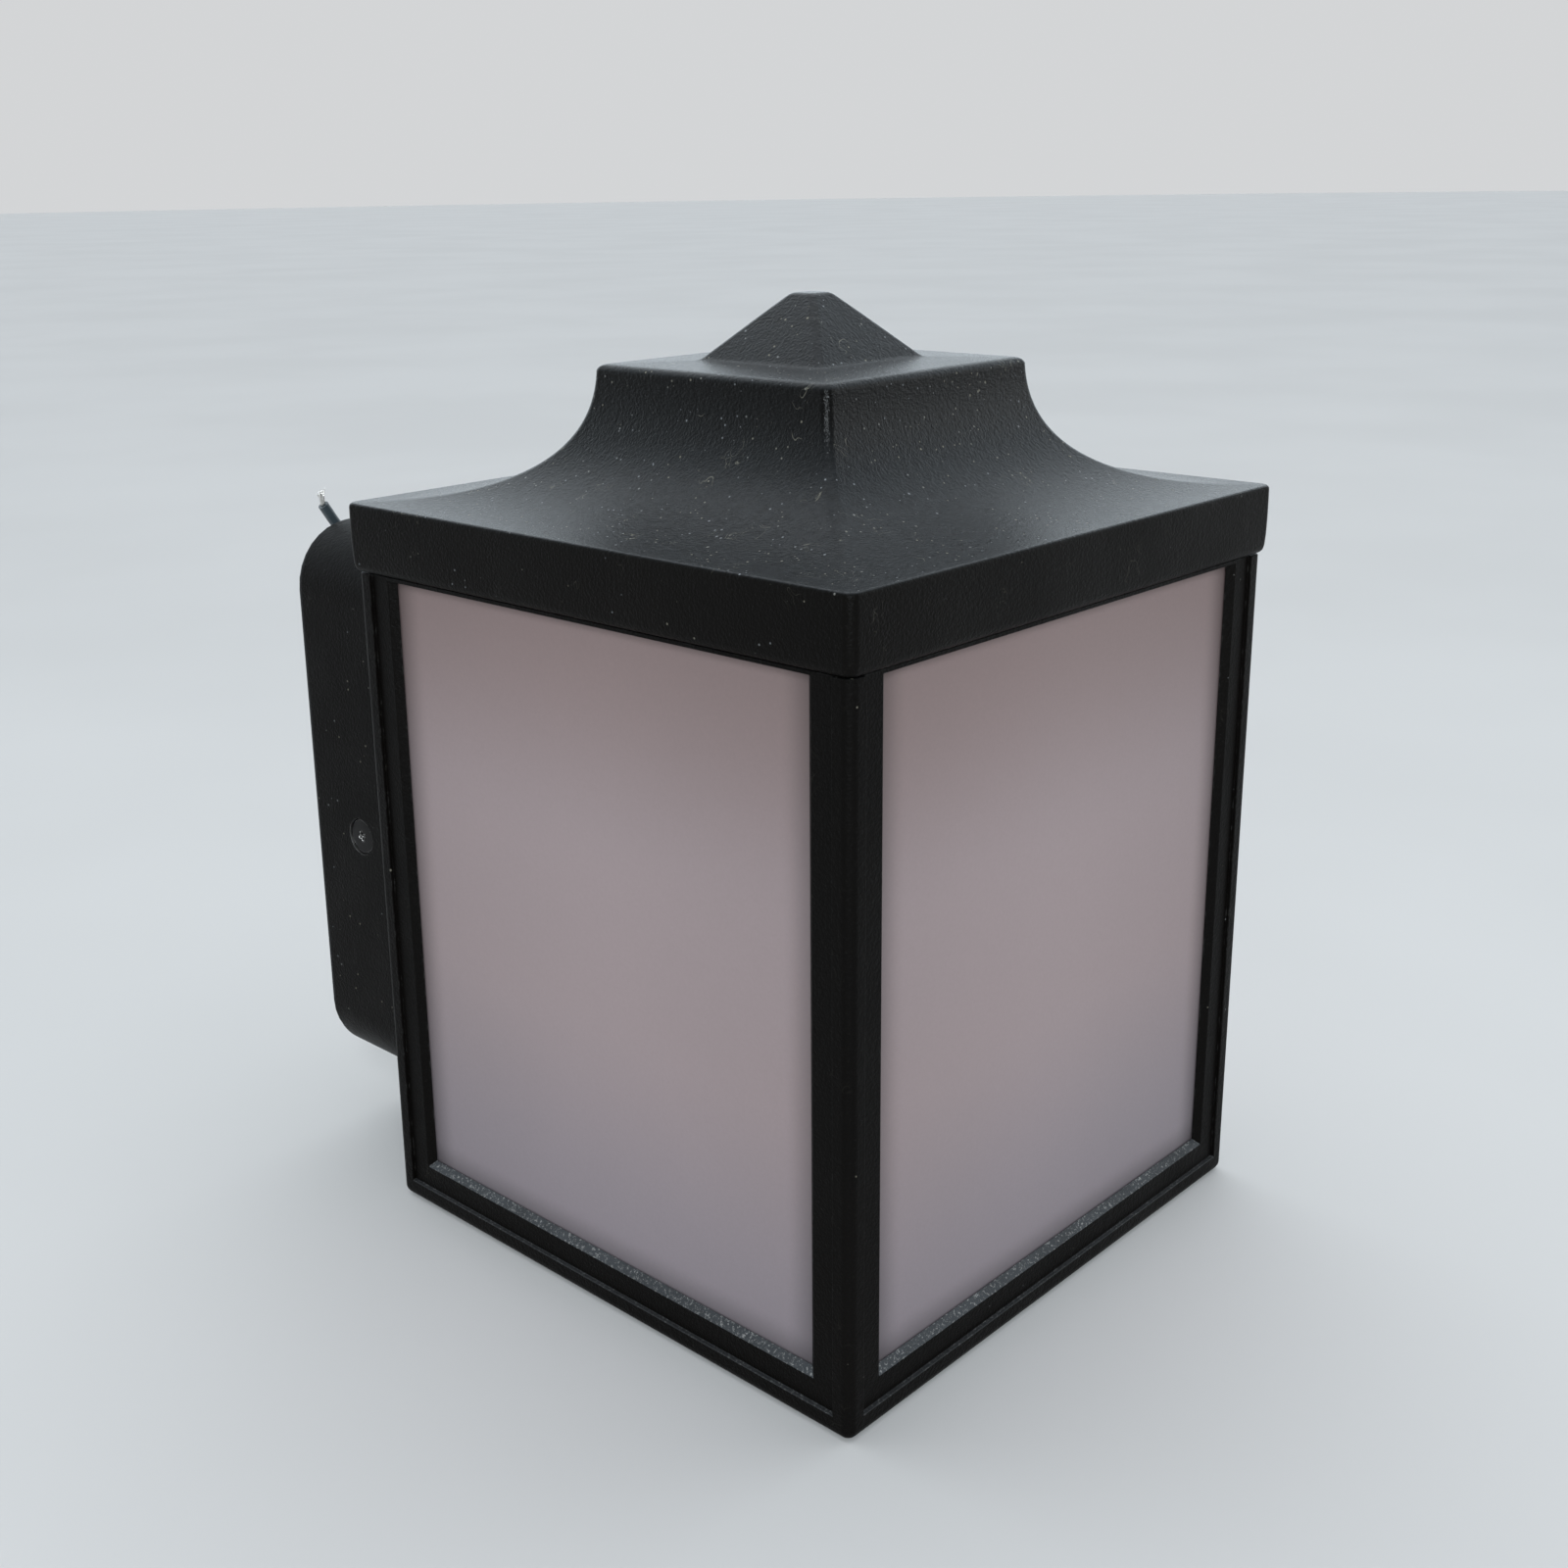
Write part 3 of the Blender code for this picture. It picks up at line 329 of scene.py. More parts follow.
def metal(name, colour, rough, streak=None, spangle=0.0, tint=None, wear=0.0, metallic=1.0):
    """Plated or bare metal with fine drawing lines, spangle and stains."""
    m, nt, b = new_material(name)
    p = place_node(nt)
    lines = noise(nt, p, 500.0, 3.0, 0.6, 0.0, streak or (1.0, 1.0, 1.0))
    stain = noise(nt, p, 55.0, 5.0, 0.6)
    c = mix_colour(nt, remap(nt, stain, 0.35, 0.7), colour, tuple(v * 0.80 for v in colour))
    if tint is not None:
        c = mix_colour(nt, math_node(nt, "MULTIPLY", remap(nt, noise(nt, p, 30.0, 3.0), 0.45, 0.7), 0.35), c, tint)
    if spangle:
        v = node(nt, "ShaderNodeTexVoronoi", {"Vector": p, "Scale": 260.0})
        g = node(nt, "ShaderNodeSeparateColor", {"Color": v.outputs["Color"]}).outputs[0]
        c = mix_colour(nt, math_node(nt, "MULTIPLY", g, spangle), c, tuple(v * 0.62 for v in colour))
    if wear:
        e = math_node(nt, "MULTIPLY", edge_mask(nt, 0.00025), wear)
        c = mix_colour(nt, e, c, (0.62, 0.61, 0.59))
    nt.links.new(c, b.inputs["Base Color"])
    b.inputs["Metallic"].default_value = metallic
    nt.links.new(remap(nt, lines, 0.25, 0.75, rough[0], rough[1]), b.inputs["Roughness"])
    nt.links.new(bump(nt, lines, 0.18, 0.00005), b.inputs["Normal"])
    return m


ZINC = metal("zinc_steel", (0.54, 0.55, 0.56), (0.28, 0.46), (1.0, 1.0, 0.12), 0.22, (0.50, 0.50, 0.40))
ZINC_SCREW = metal("zinc_screw", (0.55, 0.56, 0.58), (0.24, 0.40), None, 0.0, (0.52, 0.52, 0.42))
ALU = metal("bare_aluminium", (0.70, 0.71, 0.72), (0.28, 0.46), (0.05, 1.0, 1.0))
BLACK_SCREW = metal("black_screw", (0.016, 0.015, 0.015), (0.26, 0.42), wear=1.0)
BARE_RIM = metal("worn_rim", (0.50, 0.49, 0.48), (0.24, 0.42))
GREEN_SCREW = metal("green_screw", (0.03, 0.20, 0.07), (0.30, 0.42), None, 0.0, (0.10, 0.20, 0.06), 0.3, 0.6)
COPPER = metal("tinned_copper", (0.86, 0.85, 0.82), (0.16, 0.34), (1.0, 1.0, 0.2))


def plastic(name, colour, rough, grain_scale=900.0, grain=0.2, dirt=0.2, dirt_colour=None, spec=0.5, along=None):
    m, nt, b = new_material(name)
    p = place_node(nt)
    g = noise(nt, p, grain_scale, 3.0, 0.6, 0.0, along)
    broad = noise(nt, p, 45.0, 5.0, 0.6)
    c = mix_colour(nt, math_node(nt, "MULTIPLY", remap(nt, broad, 0.4, 0.75), dirt), colour,
                   dirt_colour or tuple(v * 0.6 for v in colour))
    c = mix_colour(nt, math_node(nt, "MULTIPLY", remap(nt, g, 0.5, 0.75), 0.25), c, tuple(min(1.0, v * 1.3 + 0.01) for v in colour))
    nt.links.new(c, b.inputs["Base Color"])
    nt.links.new(remap(nt, broad, 0.3, 0.7, rough[0], rough[1]), b.inputs["Roughness"])
    nt.links.new(bump(nt, g, grain, 0.00008), b.inputs["Normal"])
    b.inputs["Specular IOR Level"].default_value = spec
    return m


FOAM = plastic("foam", (0.022, 0.022, 0.023), (0.80, 0.95), 1300.0, 0.9, 0.3, (0.05, 0.05, 0.05), 0.15)
RUBBER = plastic("grommet_rubber", (0.020, 0.020, 0.021), (0.55, 0.75), 1500.0, 0.3)
DRIVER = plastic("driver_case", (0.66, 0.66, 0.63), (0.42, 0.58), 1400.0, 0.25, 0.25, (0.50, 0.49, 0.44))
INS_BLACK = plastic("insulation_black", (0.040, 0.052, 0.060), (0.28, 0.42), 1200.0, 0.10, 0.35, (0.085, 0.100, 0.110))
INS_WHITE = plastic("insulation_white", (0.70, 0.69, 0.65), (0.30, 0.45), 1200.0, 0.10, 0.25, (0.52, 0.50, 0.44))
INS_GREEN = plastic("insulation_green", (0.020, 0.200, 0.060), (0.30, 0.45), 1200.0, 0.10)
INS_RED = plastic("insulation_red", (0.420, 0.020, 0.020), (0.30, 0.45), 1200.0, 0.10)


def circuit_board():
    """White solder mask with yellow phosphor on the chips' faces and faint copper runs under the mask."""
    m, nt, b = new_material("circuit_board")
    p = place_node(nt)
    z = node(nt, "ShaderNodeSeparateXYZ", {"Vector": p}).outputs["Z"]
    chip = math_node(nt, "LESS_THAN", z, zl(153.5) * MM)
    x = node(nt, "ShaderNodeSeparateXYZ", {"Vector": p}).outputs["X"]
    run = math_node(nt, "ABSOLUTE", math_node(nt, "SINE", math_node(nt, "MULTIPLY", x, math.pi / 0.008)))
    c = mix_colour(nt, remap(nt, run, 0.22, 0.10, 0.0, 0.4), (0.78, 0.78, 0.75), (0.66, 0.67, 0.60))
    c = mix_colour(nt, remap(nt, noise(nt, p, 80.0, 4.0), 0.5, 0.75, 0.0, 0.3), c, (0.60, 0.58, 0.50))
    c = mix_colour(nt, chip, c, (0.86, 0.66, 0.10))
    nt.links.new(c, b.inputs["Base Color"])
    nt.links.new(remap(nt, noise(nt, p, 200.0), 0.3, 0.7, 0.35, 0.55), b.inputs["Roughness"])
    nt.links.new(bump(nt, run, 0.10, 0.00005), b.inputs["Normal"])
    return m


BOARD = circuit_board()


# ---------------------------------------------------------------- mesh helpers
def link(ob, mats):
    bpy.context.scene.collection.objects.link(ob)
    for m in mats:
        ob.data.materials.append(m)
    return ob


def mesh_object(name, bm, mats, keep=True):
    bmesh.ops.recalc_face_normals(bm, faces=bm.faces)
    if bm.calc_volume(signed=True) < 0:
        bmesh.ops.reverse_faces(bm, faces=bm.faces)
    me = bpy.data.meshes.new(name)
    bm.to_mesh(me)
    bm.free()
    return link(bpy.data.objects.new(name, me), mats)


def box_bm(lo, hi):
    bm = bmesh.new()
    bmesh.ops.create_cube(bm, size=1.0)
    size = [(b - a) * MM for a, b in zip(lo, hi)]
    mid = [(a + b) * 0.5 * MM for a, b in zip(lo, hi)]
    bmesh.ops.scale(bm, vec=size, verts=bm.verts)
    bmesh.ops.translate(bm, vec=mid, verts=bm.verts)
    return bm


def rounded_box_bm(lo, hi, axis, radius, segments):
    bm = box_bm(lo, hi)
    along = [e for e in bm.edges if abs((e.verts[1].co - e.verts[0].co).normalized()[axis]) > 0.999]
    bmesh.ops.bevel(bm, geom=along, offset=radius * MM, offset_type="OFFSET", segments=segments, profile=0.5, affect="EDGES")
    return bm


AXES = {"X": Matrix.Rotation(math.pi / 2, 4, "Y"), "Y": Matrix.Rotation(-math.pi / 2, 4, "X"), "Z": Matrix.Identity(4)}


def rod_bm(axis, centre, radius, length, segments=32, radius2=None):
    bm = bmesh.new()
    bmesh.ops.create_cone(bm, cap_ends=True, segments=segments, radius1=radius * MM,
                          radius2=(radius if radius2 is None else radius2) * MM, depth=length * MM)
    bm.transform(Matrix.Translation(Vector(centre) * MM) @ AXES[axis])
    return bm


class Solid:
    """A base mesh with a list of exact booleans, worked out at once."""

    def __init__(self, name, bm, mats):
        self.ob = mesh_object(name, bm, mats)
        self.tools = []

    def do(self, bm, how="DIFFERENCE"):
        t = mesh_object("tool_%d" % len(self.tools), bm, [])
        self.tools.append(t)
        m = self.ob.modifiers.new("b%d" % len(self.tools), "BOOLEAN")
        m.operation, m.solver, m.object = how, "EXACT", t
        return self

    def cut_box(self, lo, hi):
        return self.do(box_bm(lo, hi))

    def add_box(self, lo, hi):
        return self.do(box_bm(lo, hi), "UNION")

    def cut_rod(self, axis, centre, radius, length, segments=32, radius2=None):
        return self.do(rod_bm(axis, centre, radius, length, segments, radius2))

    def done(self, bevel=0.25, segments=2, angle=30.0, smooth=35.0):
        bpy.context.view_layer.update()
        dg = bpy.context.evaluated_depsgraph_get()
        me = bpy.data.meshes.new_from_object(self.ob.evaluated_get(dg))
        self.ob.modifiers.clear()
        self.ob.data = me
        for t in self.tools:
            bpy.data.objects.remove(t, do_unlink=True)
        tidy(me, bevel, segments, angle, smooth)
        weighted(self.ob)
        return self.ob


def tidy(me, bevel, segments, angle, smooth):
    """Merges flat neighbours and rounds every sharp edge a little."""
    bm = bmesh.new()
    bm.from_mesh(me)
    bmesh.ops.remove_doubles(bm, verts=bm.verts, dist=1e-7)
    bmesh.ops.dissolve_limit(bm, angle_limit=math.radians(0.2), verts=bm.verts, edges=bm.edges)
    bmesh.ops.dissolve_degenerate(bm, dist=1e-7, edges=bm.edges)
    if bevel:
        sharp = [e for e in bm.edges if len(e.link_faces) == 2 and e.calc_face_angle(0.0) > math.radians(angle)]
        bmesh.ops.bevel(bm, geom=sharp, offset=bevel * MM, offset_type="OFFSET", segments=segments, profile=0.5,
                        affect="EDGES", clamp_overlap=True)
    bm.to_mesh(me)
    bm.free()
    me.shade_smooth()
    me.set_sharp_from_angle(angle=math.radians(smooth))


def weighted(ob):
    m = ob.modifiers.new("normals", "WEIGHTED_NORMAL")
    m.keep_sharp = True
    m.weight = 60


# ---------------------------------------------------------------- leads
def smooth_route(points, step):
    """Points a step apart along a centripetal Catmull-Rom curve through the route's own points."""
    P = [Vector(p) for p in points]
    P = [P[0] * 2 - P[1]] + P + [P[-1] * 2 - P[-2]]
    fine = []
    for k in range(1, len(P) - 2):
        p0, p1, p2, p3 = P[k - 1:k + 3]
        t0 = 0.0
        t1 = t0 + (p1 - p0).length ** 0.5
        t2 = t1 + (p2 - p1).length ** 0.5
        t3 = t2 + (p3 - p2).length ** 0.5
        for s in range(24):
            t = t1 + (t2 - t1) * s / 24
            a1 = (t1 - t) / (t1 - t0) * p0 + (t - t0) / (t1 - t0) * p1
            a2 = (t2 - t) / (t2 - t1) * p1 + (t - t1) / (t2 - t1) * p2
            a3 = (t3 - t) / (t3 - t2) * p2 + (t - t2) / (t3 - t2) * p3
            b1 = (t2 - t) / (t2 - t0) * a1 + (t - t0) / (t2 - t0) * a2
            b2 = (t3 - t) / (t3 - t1) * a2 + (t - t1) / (t3 - t1) * a3
            fine.append((t2 - t) / (t2 - t1) * b1 + (t - t1) / (t2 - t1) * b2)
    fine.append(P[-2])
    cum = [0.0]
    for a, b in zip(fine, fine[1:]):
        cum.append(cum[-1] + (b - a).length)
    n = max(3, round(cum[-1] / step))
    out, j = [], 0
    for i in range(n + 1):
        d = cum[-1] * i / n
        while j < len(cum) - 2 and cum[j + 1] < d:
            j += 1
        f = (d - cum[j]) / (cum[j + 1] - cum[j])
        out.append(fine[j].lerp(fine[j + 1], f))
    return out, cum[-1]


def cord_curve(name, pts, radius, mat, resolution=5):
    cu = bpy.data.curves.new(name, "CURVE")
    cu.dimensions = "3D"
    cu.bevel_depth = radius * MM
    cu.bevel_resolution = resolution
    cu.use_fill_caps = True
    cu.resolution_u = 1
    sp = cu.splines.new("POLY")
    sp.points.add(len(pts) - 1)
    for i, p in enumerate(pts):
        sp.points[i].co = (*(Vector(p) * MM), 1.0)
    sp.use_smooth = True
    return link(bpy.data.objects.new(name, cu), [mat])


def tube(bm, pts, radius, sides=6):
    """A thin closed tube along a few points (mm)."""
    rings = []
    for i, p in enumerate(pts):
        a = pts[max(0, i - 1)]
        b = pts[min(len(pts) - 1, i + 1)]
        t = (b - a).normalized()
        x = t.orthogonal().normalized() if i == 0 else (rings[-1][1] - t * rings[-1][1].dot(t)).normalized()
        y = t.cross(x)
        ring = [bm.verts.new((p + (x * math.cos(2 * math.pi * k / sides) + y * math.sin(2 * math.pi * k / sides)) * radius) * MM)
                for k in range(sides)]
        rings.append((ring, x))
    for (r0, _), (r1, _) in zip(rings, rings[1:]):
        for k in range(sides):
            bm.faces.new((r0[k], r0[(k + 1) % sides], r1[(k + 1) % sides], r1[k]))
    bm.faces.new(list(reversed(rings[0][0])))
    bm.faces.new(rings[-1][0])


def strands(name, start, direction, end, seed, splay=0.38):
    """Nineteen tinned strands with a slight lay, and two that stray."""
    rng = random.Random(seed)
    bm = bmesh.new()
    axis = (end - start)
    length = axis.length
    x = direction.orthogonal().normalized()
    y = direction.cross(x)
    layout = [(0.0, 0.0)] + [(0.255, k * math.pi / 3) for k in range(6)] + [(0.50, k * math.pi / 6 + 0.2) for k in range(12)]
    for i, (r, a) in enumerate(layout):
        cut = length * rng.uniform(0.90, 1.0)
        out = splay * rng.uniform(0.2, 1.0) + (1.0 if i in (8, 15) else 0.0) * splay * 3.0
        pts = []
        for s in range(9):
            f = s / 8
            rr = r * (1.0 + out * f * f)
            ang = a + 1.1 * f
            c = start + direction * (length * 0.35 * f) * (1 - f) + axis * (cut / length) * f
            pts.append(c + x * rr * math.cos(ang) + y * rr * math.sin(ang))
        tube(bm, pts, 0.125)
    ob = mesh_object(name, bm, [COPPER])
    ob.data.shade_smooth()
    return ob


LEAD_ROUTES = {
    "lead_black": [(-31.3, -26.0, 40.0), (-38.0, -26.0, 39.3), (-45.0, -24.0, 32.5), (-46.5, -20.5, 22.0),
                   (-40.0, -16.5, 12.0), (-28.0, -13.5, 8.0), (-15.5, -12.5, 12.0), (-8.5, -12.0, 22.0),
                   (-9.5, -10.5, 33.5), (-17.0, -6.0, 44.0), (-27.5, -0.3, 53.0), (-36.5, 3.8, 61.8),
                   (-41.9, 5.0, 68.8), (-45.9, 5.0, 74.8)],
    "lead_white": [(31.3, -26.0, 40.0), (38.0, -26.0, 39.3), (45.0, -24.0, 32.5), (46.5, -20.5, 22.0),
                   (40.5, -16.5, 12.0), (29.5, -13.8, 5.5), (19.0, -12.3, -2.0), (16.5, -10.5, -14.0),
                   (24.5, -5.0, -24.5), (31.5, 1.5, -35.0), (30.5, 6.7, -47.0), (27.0, 8.6, -60.0),
                   (26.5, 8.0, -74.5)],
    "lead_ground": [(-24.0, -31.9, -37.5), (-24.3, -31.6, -43.5), (-29.0, -30.5, -51.5), (-39.5, -27.0, -55.0),
                    (-48.7, -23.0, -46.5), (-49.5, -18.5, -33.0), (-43.0, -14.5, -21.0), (-32.0, -11.0, -16.6),
                    (-22.7, -7.0, -22.8), (-20.5, -2.0, -33.5), (-19.5, 3.5, -44.0), (-18.5, 7.3, -54.5),
                    (-18.0, 8.3, -64.5), (-18.5, 8.0, -74.8)],
}
TIP = 3.4
for name, mat in (("lead_black", INS_BLACK), ("lead_white", INS_WHITE), ("lead_ground", INS_GREEN)):
    pts, length = smooth_route(LEAD_ROUTES[name], 1.5)
    cord = cord_curve(name + "_cord", pts, LEAD_R, mat)
    d = (pts[-1] - pts[-2]).normalized()
    a = pts[-1] + d * 0.02
    e = a + (Vector((-0.1, 0.0, 1.0)) if name == "lead_black" else d) * TIP
    tip = strands(name + "_strands", a, d, e, {"lead_black": 3, "lead_white": 5, "lead_ground": 9}[name])
    for ob, cad, slot in ((cord, name, {"lead_black": "insulation_black", "lead_white": "insulation_white",
                                        "lead_ground": "insulation_green"}[name]), (tip, name + "_tip", "tinned_copper")):
        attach(ob, "lantern")
        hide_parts(cad)


# ---------------------------------------------------------------- roof
def sweep(n):
    """The roof's concave sweep, from the neck down to the eave, as (half width, height)."""
    p = [(NECK_HALF, 190.8), (NECK_HALF + 0.6, 179.05), (38.7, EAVE_TOP), (69.4, EAVE_TOP)]
    out = []
    for i in range(n + 1):
        t = i / n
        c = ((1 - t) ** 3, 3 * (1 - t) ** 2 * t, 3 * (1 - t) * t * t, t ** 3)
        out.append(tuple(sum(c[j] * p[j][k] for j in range(4)) for k in (0, 1)))
    return out


def ring(u, r, k):
    """A square of half width u with rounded corners, as (x, y), starting past the +X +Y corner's first point."""
    r = min(r, u * 0.85)
    out = []
    for q in range(4):
        cx = (u - r) * (1 if q in (0, 3) else -1)
        cy = (u - r) * (1 if q in (0, 1) else -1)
        for i in range(k + 1):
            a = math.pi / 2 * (q + i / k)
            out.append((cx + r * math.cos(a), cy + r * math.sin(a)))
    return out


def loft(bm, profile, k):
    """Faces between rounded squares; profile is (half width, height, corner radius)."""
    rings = []
    for u, h, r in profile:
        rings.append([bm.verts.new((x * MM, (y + YC) * MM, zl(h) * MM)) for x, y in ring(u, r, k)])
    for a, b in zip(rings, rings[1:]):
        n = len(a)
        for i in range(n):
            bm.faces.new((a[i], a[(i + 1) % n], b[(i + 1) % n], b[i]))
    return rings


def make_roof():
    k = 9
    top = [(1.2, PYRAMID_TOP), (2.5, PYRAMID_TOP), (3.1, PYRAMID_TOP - 0.10), (3.6, PYRAMID_TOP - 0.36), (4.0, PYRAMID_TOP - 0.7),
           (8.0, 201.3), (12.2, 197.1), (15.6, 193.7), (16.1, 193.2), (16.5, 192.85), (17.0, 192.55), (17.8, 192.42), (20.0, 192.33),
           (25.0, 192.18), (29.9, 192.03), (30.6, 191.98), (31.2, 191.83), (31.65, 191.55), (31.95, 191.2)]
    prof = [(u, h, 1.6 if h > 192.6 else 1.7) for u, h in top]
    sw = sweep(56)
    for i, (u, h) in enumerate(sw):
        prof.append((u, h, 1.8 + 0.4 * i / 56))
    prof += [(69.62, EAVE_TOP - 0.08, 2.2), (69.80, EAVE_TOP - 0.26, 2.2), (69.93, EAVE_TOP - 0.55, 2.2), (69.98, EAVE_TOP - 0.95, 2.2),
             (70.0, 161.0, 2.2), (70.0, 156.5, 2.2), (69.93, 153.2, 2.2), (69.80, 151.2, 2.2), (69.70, 150.6, 2.2),
             (69.50, 150.1, 2.0), (69.15, 149.68, 1.9), (68.85, 149.50, 1.8), (68.5, SKIRT_BOTTOM, 1.8)]
    inner = [(67.3, SKIRT_BOTTOM, 0.7), (67.1, 149.6, 0.7), (67.55, 150.7, 0.7), (67.8, 156.5, 0.7), (67.8, 161.2, 0.7), (67.2, 161.9, 0.7)]
    low = []
    for (u0, h0), (u1, h1) in zip(sw, sw[1:]):
        t = Vector((u1 - u0, h1 - h0)).normalized()
        low.append((u0 + t.y * ROOF_T, h0 - t.x * ROOF_T))
    inner += [(u, h, 0.5) for u, h in reversed(low) if u < 66.5]
    inner += [(29.4, 190.1, 0.5), (28.5, 189.8, 0.5), (16.4, 190.1, 0.5), (14.9, 190.8, 0.5), (2.6, 203.1, 0.5), (1.0, 203.4, 0.5)]
    bm = bmesh.new()
    rings = loft(bm, prof + inner, k)
    bm.faces.new(list(reversed(rings[0])))
    bm.faces.new(rings[-1])
    s = Solid("roof_casting", bm, [PAINT_ROOF, PAINT_SKIRT])
    for sx in (-1, 1):
        for sy in (-1, 1):
            c = (sx * ROOF_SCREW, YC + sy * ROOF_SCREW)
            s.do(rod_bm("Z", (*c, zl(160.4)), 4.0, 6.0, 32), "UNION")
            s.cut_rod("Z", (*c, zl(159.4)), 2.0, 7.0, 24)
    bpy.context.view_layer.update()
    dg = bpy.context.evaluated_depsgraph_get()
    me = bpy.data.meshes.new_from_object(s.ob.evaluated_get(dg))
    s.ob.modifiers.clear()
    s.ob.data = me
    for t in s.tools:
        bpy.data.objects.remove(t, do_unlink=True)
    for f in me.polygons:
        if f.center.z < zl(EAVE_TOP - 0.4) * MM:
            f.material_index = 1
    me.shade_smooth()
    me.set_sharp_from_angle(angle=math.radians(32))
    weighted(s.ob)
    return s.ob


roof = make_roof()
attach(roof, "lantern")
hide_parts("roof_cap")


# ---------------------------------------------------------------- lantern frame
def about_axis(bm, turn):
    bm.transform(Matrix.Translation((0, YC * MM, 0)) @ Matrix.Rotation(turn, 4, "Z"))
    return bm


def window_tool(w, turn):
    """A window's opening: tapered from the inner band to the glass, then straight on inwards."""
    plane = BODY_HALF - BAND_STEP
    glass = w - CHAMFER
    slope = CHAMFER / (plane - PANE_OUT)
    sill = BAND_TOTAL + 0.2
    rows = []
    for d, half, low in ((plane + 2.0, w + 2.0 * slope, sill - 2.0 * slope), (PANE_OUT, glass, sill + CHAMFER),
                         (PANE_OUT - 8.0, glass, sill + CHAMFER)):
        rows.append([(-half, -d, zl(low)), (half, -d, zl(low)), (half, -d, zl(WINDOW_TOP)), (-half, -d, zl(WINDOW_TOP))])
    bm = bmesh.new()
    rings = [[bm.verts.new(Vector(p) * MM) for p in row] for row in rows]
    for r0, r1 in zip(rings, rings[1:]):
        for k in range(4):
            bm.faces.new((r0[k], r0[(k + 1) % 4], r1[(k + 1) % 4], r1[k]))
    bm.faces.new(list(reversed(rings[0])))
    bm.faces.new(rings[-1])
    return about_axis(bm, turn)


def rebate_tool(turn):
    h = PANE_HALF + GAP
    return about_axis(box_bm((-h, -(PANE_OUT + GAP), zl(PANE_Z[0] - GAP)), (h, -(PANE_OUT - 4.0), zl(PANE_Z[1] + GAP))), turn)


def make_frame():
    b = BODY_HALF
    bm = box_bm((-b, YC - b, zl(0)), (b, YC + b, zl(BODY_TOP)))
    ease = [e for e in bm.edges if not all(v.co.z > zl(BODY_TOP - 1) * MM for v in e.verts)]
    bmesh.ops.bevel(bm, geom=ease, offset=2.2 * MM, offset_type="OFFSET", segments=7, profile=0.5, affect="EDGES")
    s = Solid("cage_casting", bm, [PAINT, LEDGE, STEP])
    q = SPIGOT_HALF
    s.add_box((-q, YC - q, zl(140)), (q, YC + q, zl(SPIGOT_TOP)))
    i = b - WALL
    s.cut_box((-i, YC - i, zl(LEDGE_Z[1])), (i, YC + i, zl(SPIGOT_TOP + 5)))
    s.cut_box((-i, YC - i, zl(-5)), (i, YC + i, zl(LEDGE_Z[0])))
    k, m = LEDGE_HALF, LEDGE_HALF - 5.0
    s.cut_box((-k, YC - m, zl(2)), (k, YC + m, zl(10)))
    s.cut_box((-m, YC - k, zl(2)), (m, YC + k, zl(10)))
    t = b - BAND_OUTER
    w = b - BAND_TOTAL
    top = BODY_TOP + 0.2
    s.cut_box((-t, YC - b - 5, zl(BAND_OUTER + 0.3)), (t, YC - b + BAND_STEP, zl(top)))
    s.cut_box((-b - 5, YC - t, zl(BAND_OUTER + 0.3)), (-b + BAND_STEP, YC + t, zl(top)))
    s.cut_box((b - BAND_STEP, YC - t, zl(BAND_OUTER + 0.3)), (b + 5, YC + t, zl(top)))
    for turn in (0.0, -math.pi / 2, math.pi / 2):
        s.do(window_tool(w, turn))
        s.do(rebate_tool(turn))
    for sx in (-1, 1):
        for sy in (-1, 1):
            x0, x1 = sorted((sx * 51.5, sx * (q - 1)))
            y0, y1 = sorted((sy * 51.5, sy * (q - 1)))
            s.add_box((x0, YC + y0, zl(150.0)), (x1, YC + y1, zl(SPIGOT_TOP)))
            s.cut_rod("Z", (sx * ROOF_SCREW, YC + sy * ROOF_SCREW, zl(152)), 2.1, 9, 24)
            s.cut_rod("Z", (sx * BASE_SCREW, YC + sy * BASE_SCREW, zl(6)), 1.9, 9, 24)
    s.cut_rod("Y", (0, YC + b - 2, WIRE_Z), 5.0, 12, 32)
    for n, x, z in HOUSING_SCREWS:
        s.cut_rod("Y", (x, YC + b - 2, z), 2.0, 12, 24)
    ob = s.done(0.22, 2, 32.0)
    # sills of the windows, and the lower edge of each inner band
    for f in ob.data.polygons:
        c = f.center / MM
        out = max(abs(c.x), abs(c.y - YC))
        if f.normal.z > 0.3 and out > 65.9:
            if zl(BAND_TOTAL + 0.1) < c.z < zl(12.0):
                f.material_index = 1
            elif zl(BAND_OUTER - 0.3) < c.z < zl(BAND_OUTER + 1.0):
                f.material_index = 2
    return ob


cage = make_frame()
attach(cage, "lantern")
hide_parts("lantern_frame")

# ---------------------------------------------------------------- panes
in_back = PANE_OUT - PANE_T
for name, lo, hi, across in (
        ("pane_front", (-PANE_HALF, YC - PANE_OUT, zl(PANE_Z[0])), (PANE_HALF, YC - in_back, zl(PANE_Z[1])), "X"),
        ("pane_left", (-PANE_OUT, YC - PANE_HALF, zl(PANE_Z[0])), (-in_back, YC + PANE_HALF, zl(PANE_Z[1])), "Y"),
        ("pane_right", (in_back, YC - PANE_HALF, zl(PANE_Z[0])), (PANE_OUT, YC + PANE_HALF, zl(PANE_Z[1])), "Y")):
    bm = box_bm(lo, hi)
    bmesh.ops.bevel(bm, geom=list(bm.edges), offset=0.3 * MM, offset_type="OFFSET", segments=3, profile=0.5, affect="EDGES")
    pane = mesh_object(name.replace("pane", "opal"), bm, [opal(name.replace("pane", "opal_glass"), across)])
    pane.data.shade_smooth()
    weighted(pane)
    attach(pane, "lantern")
    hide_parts(name)


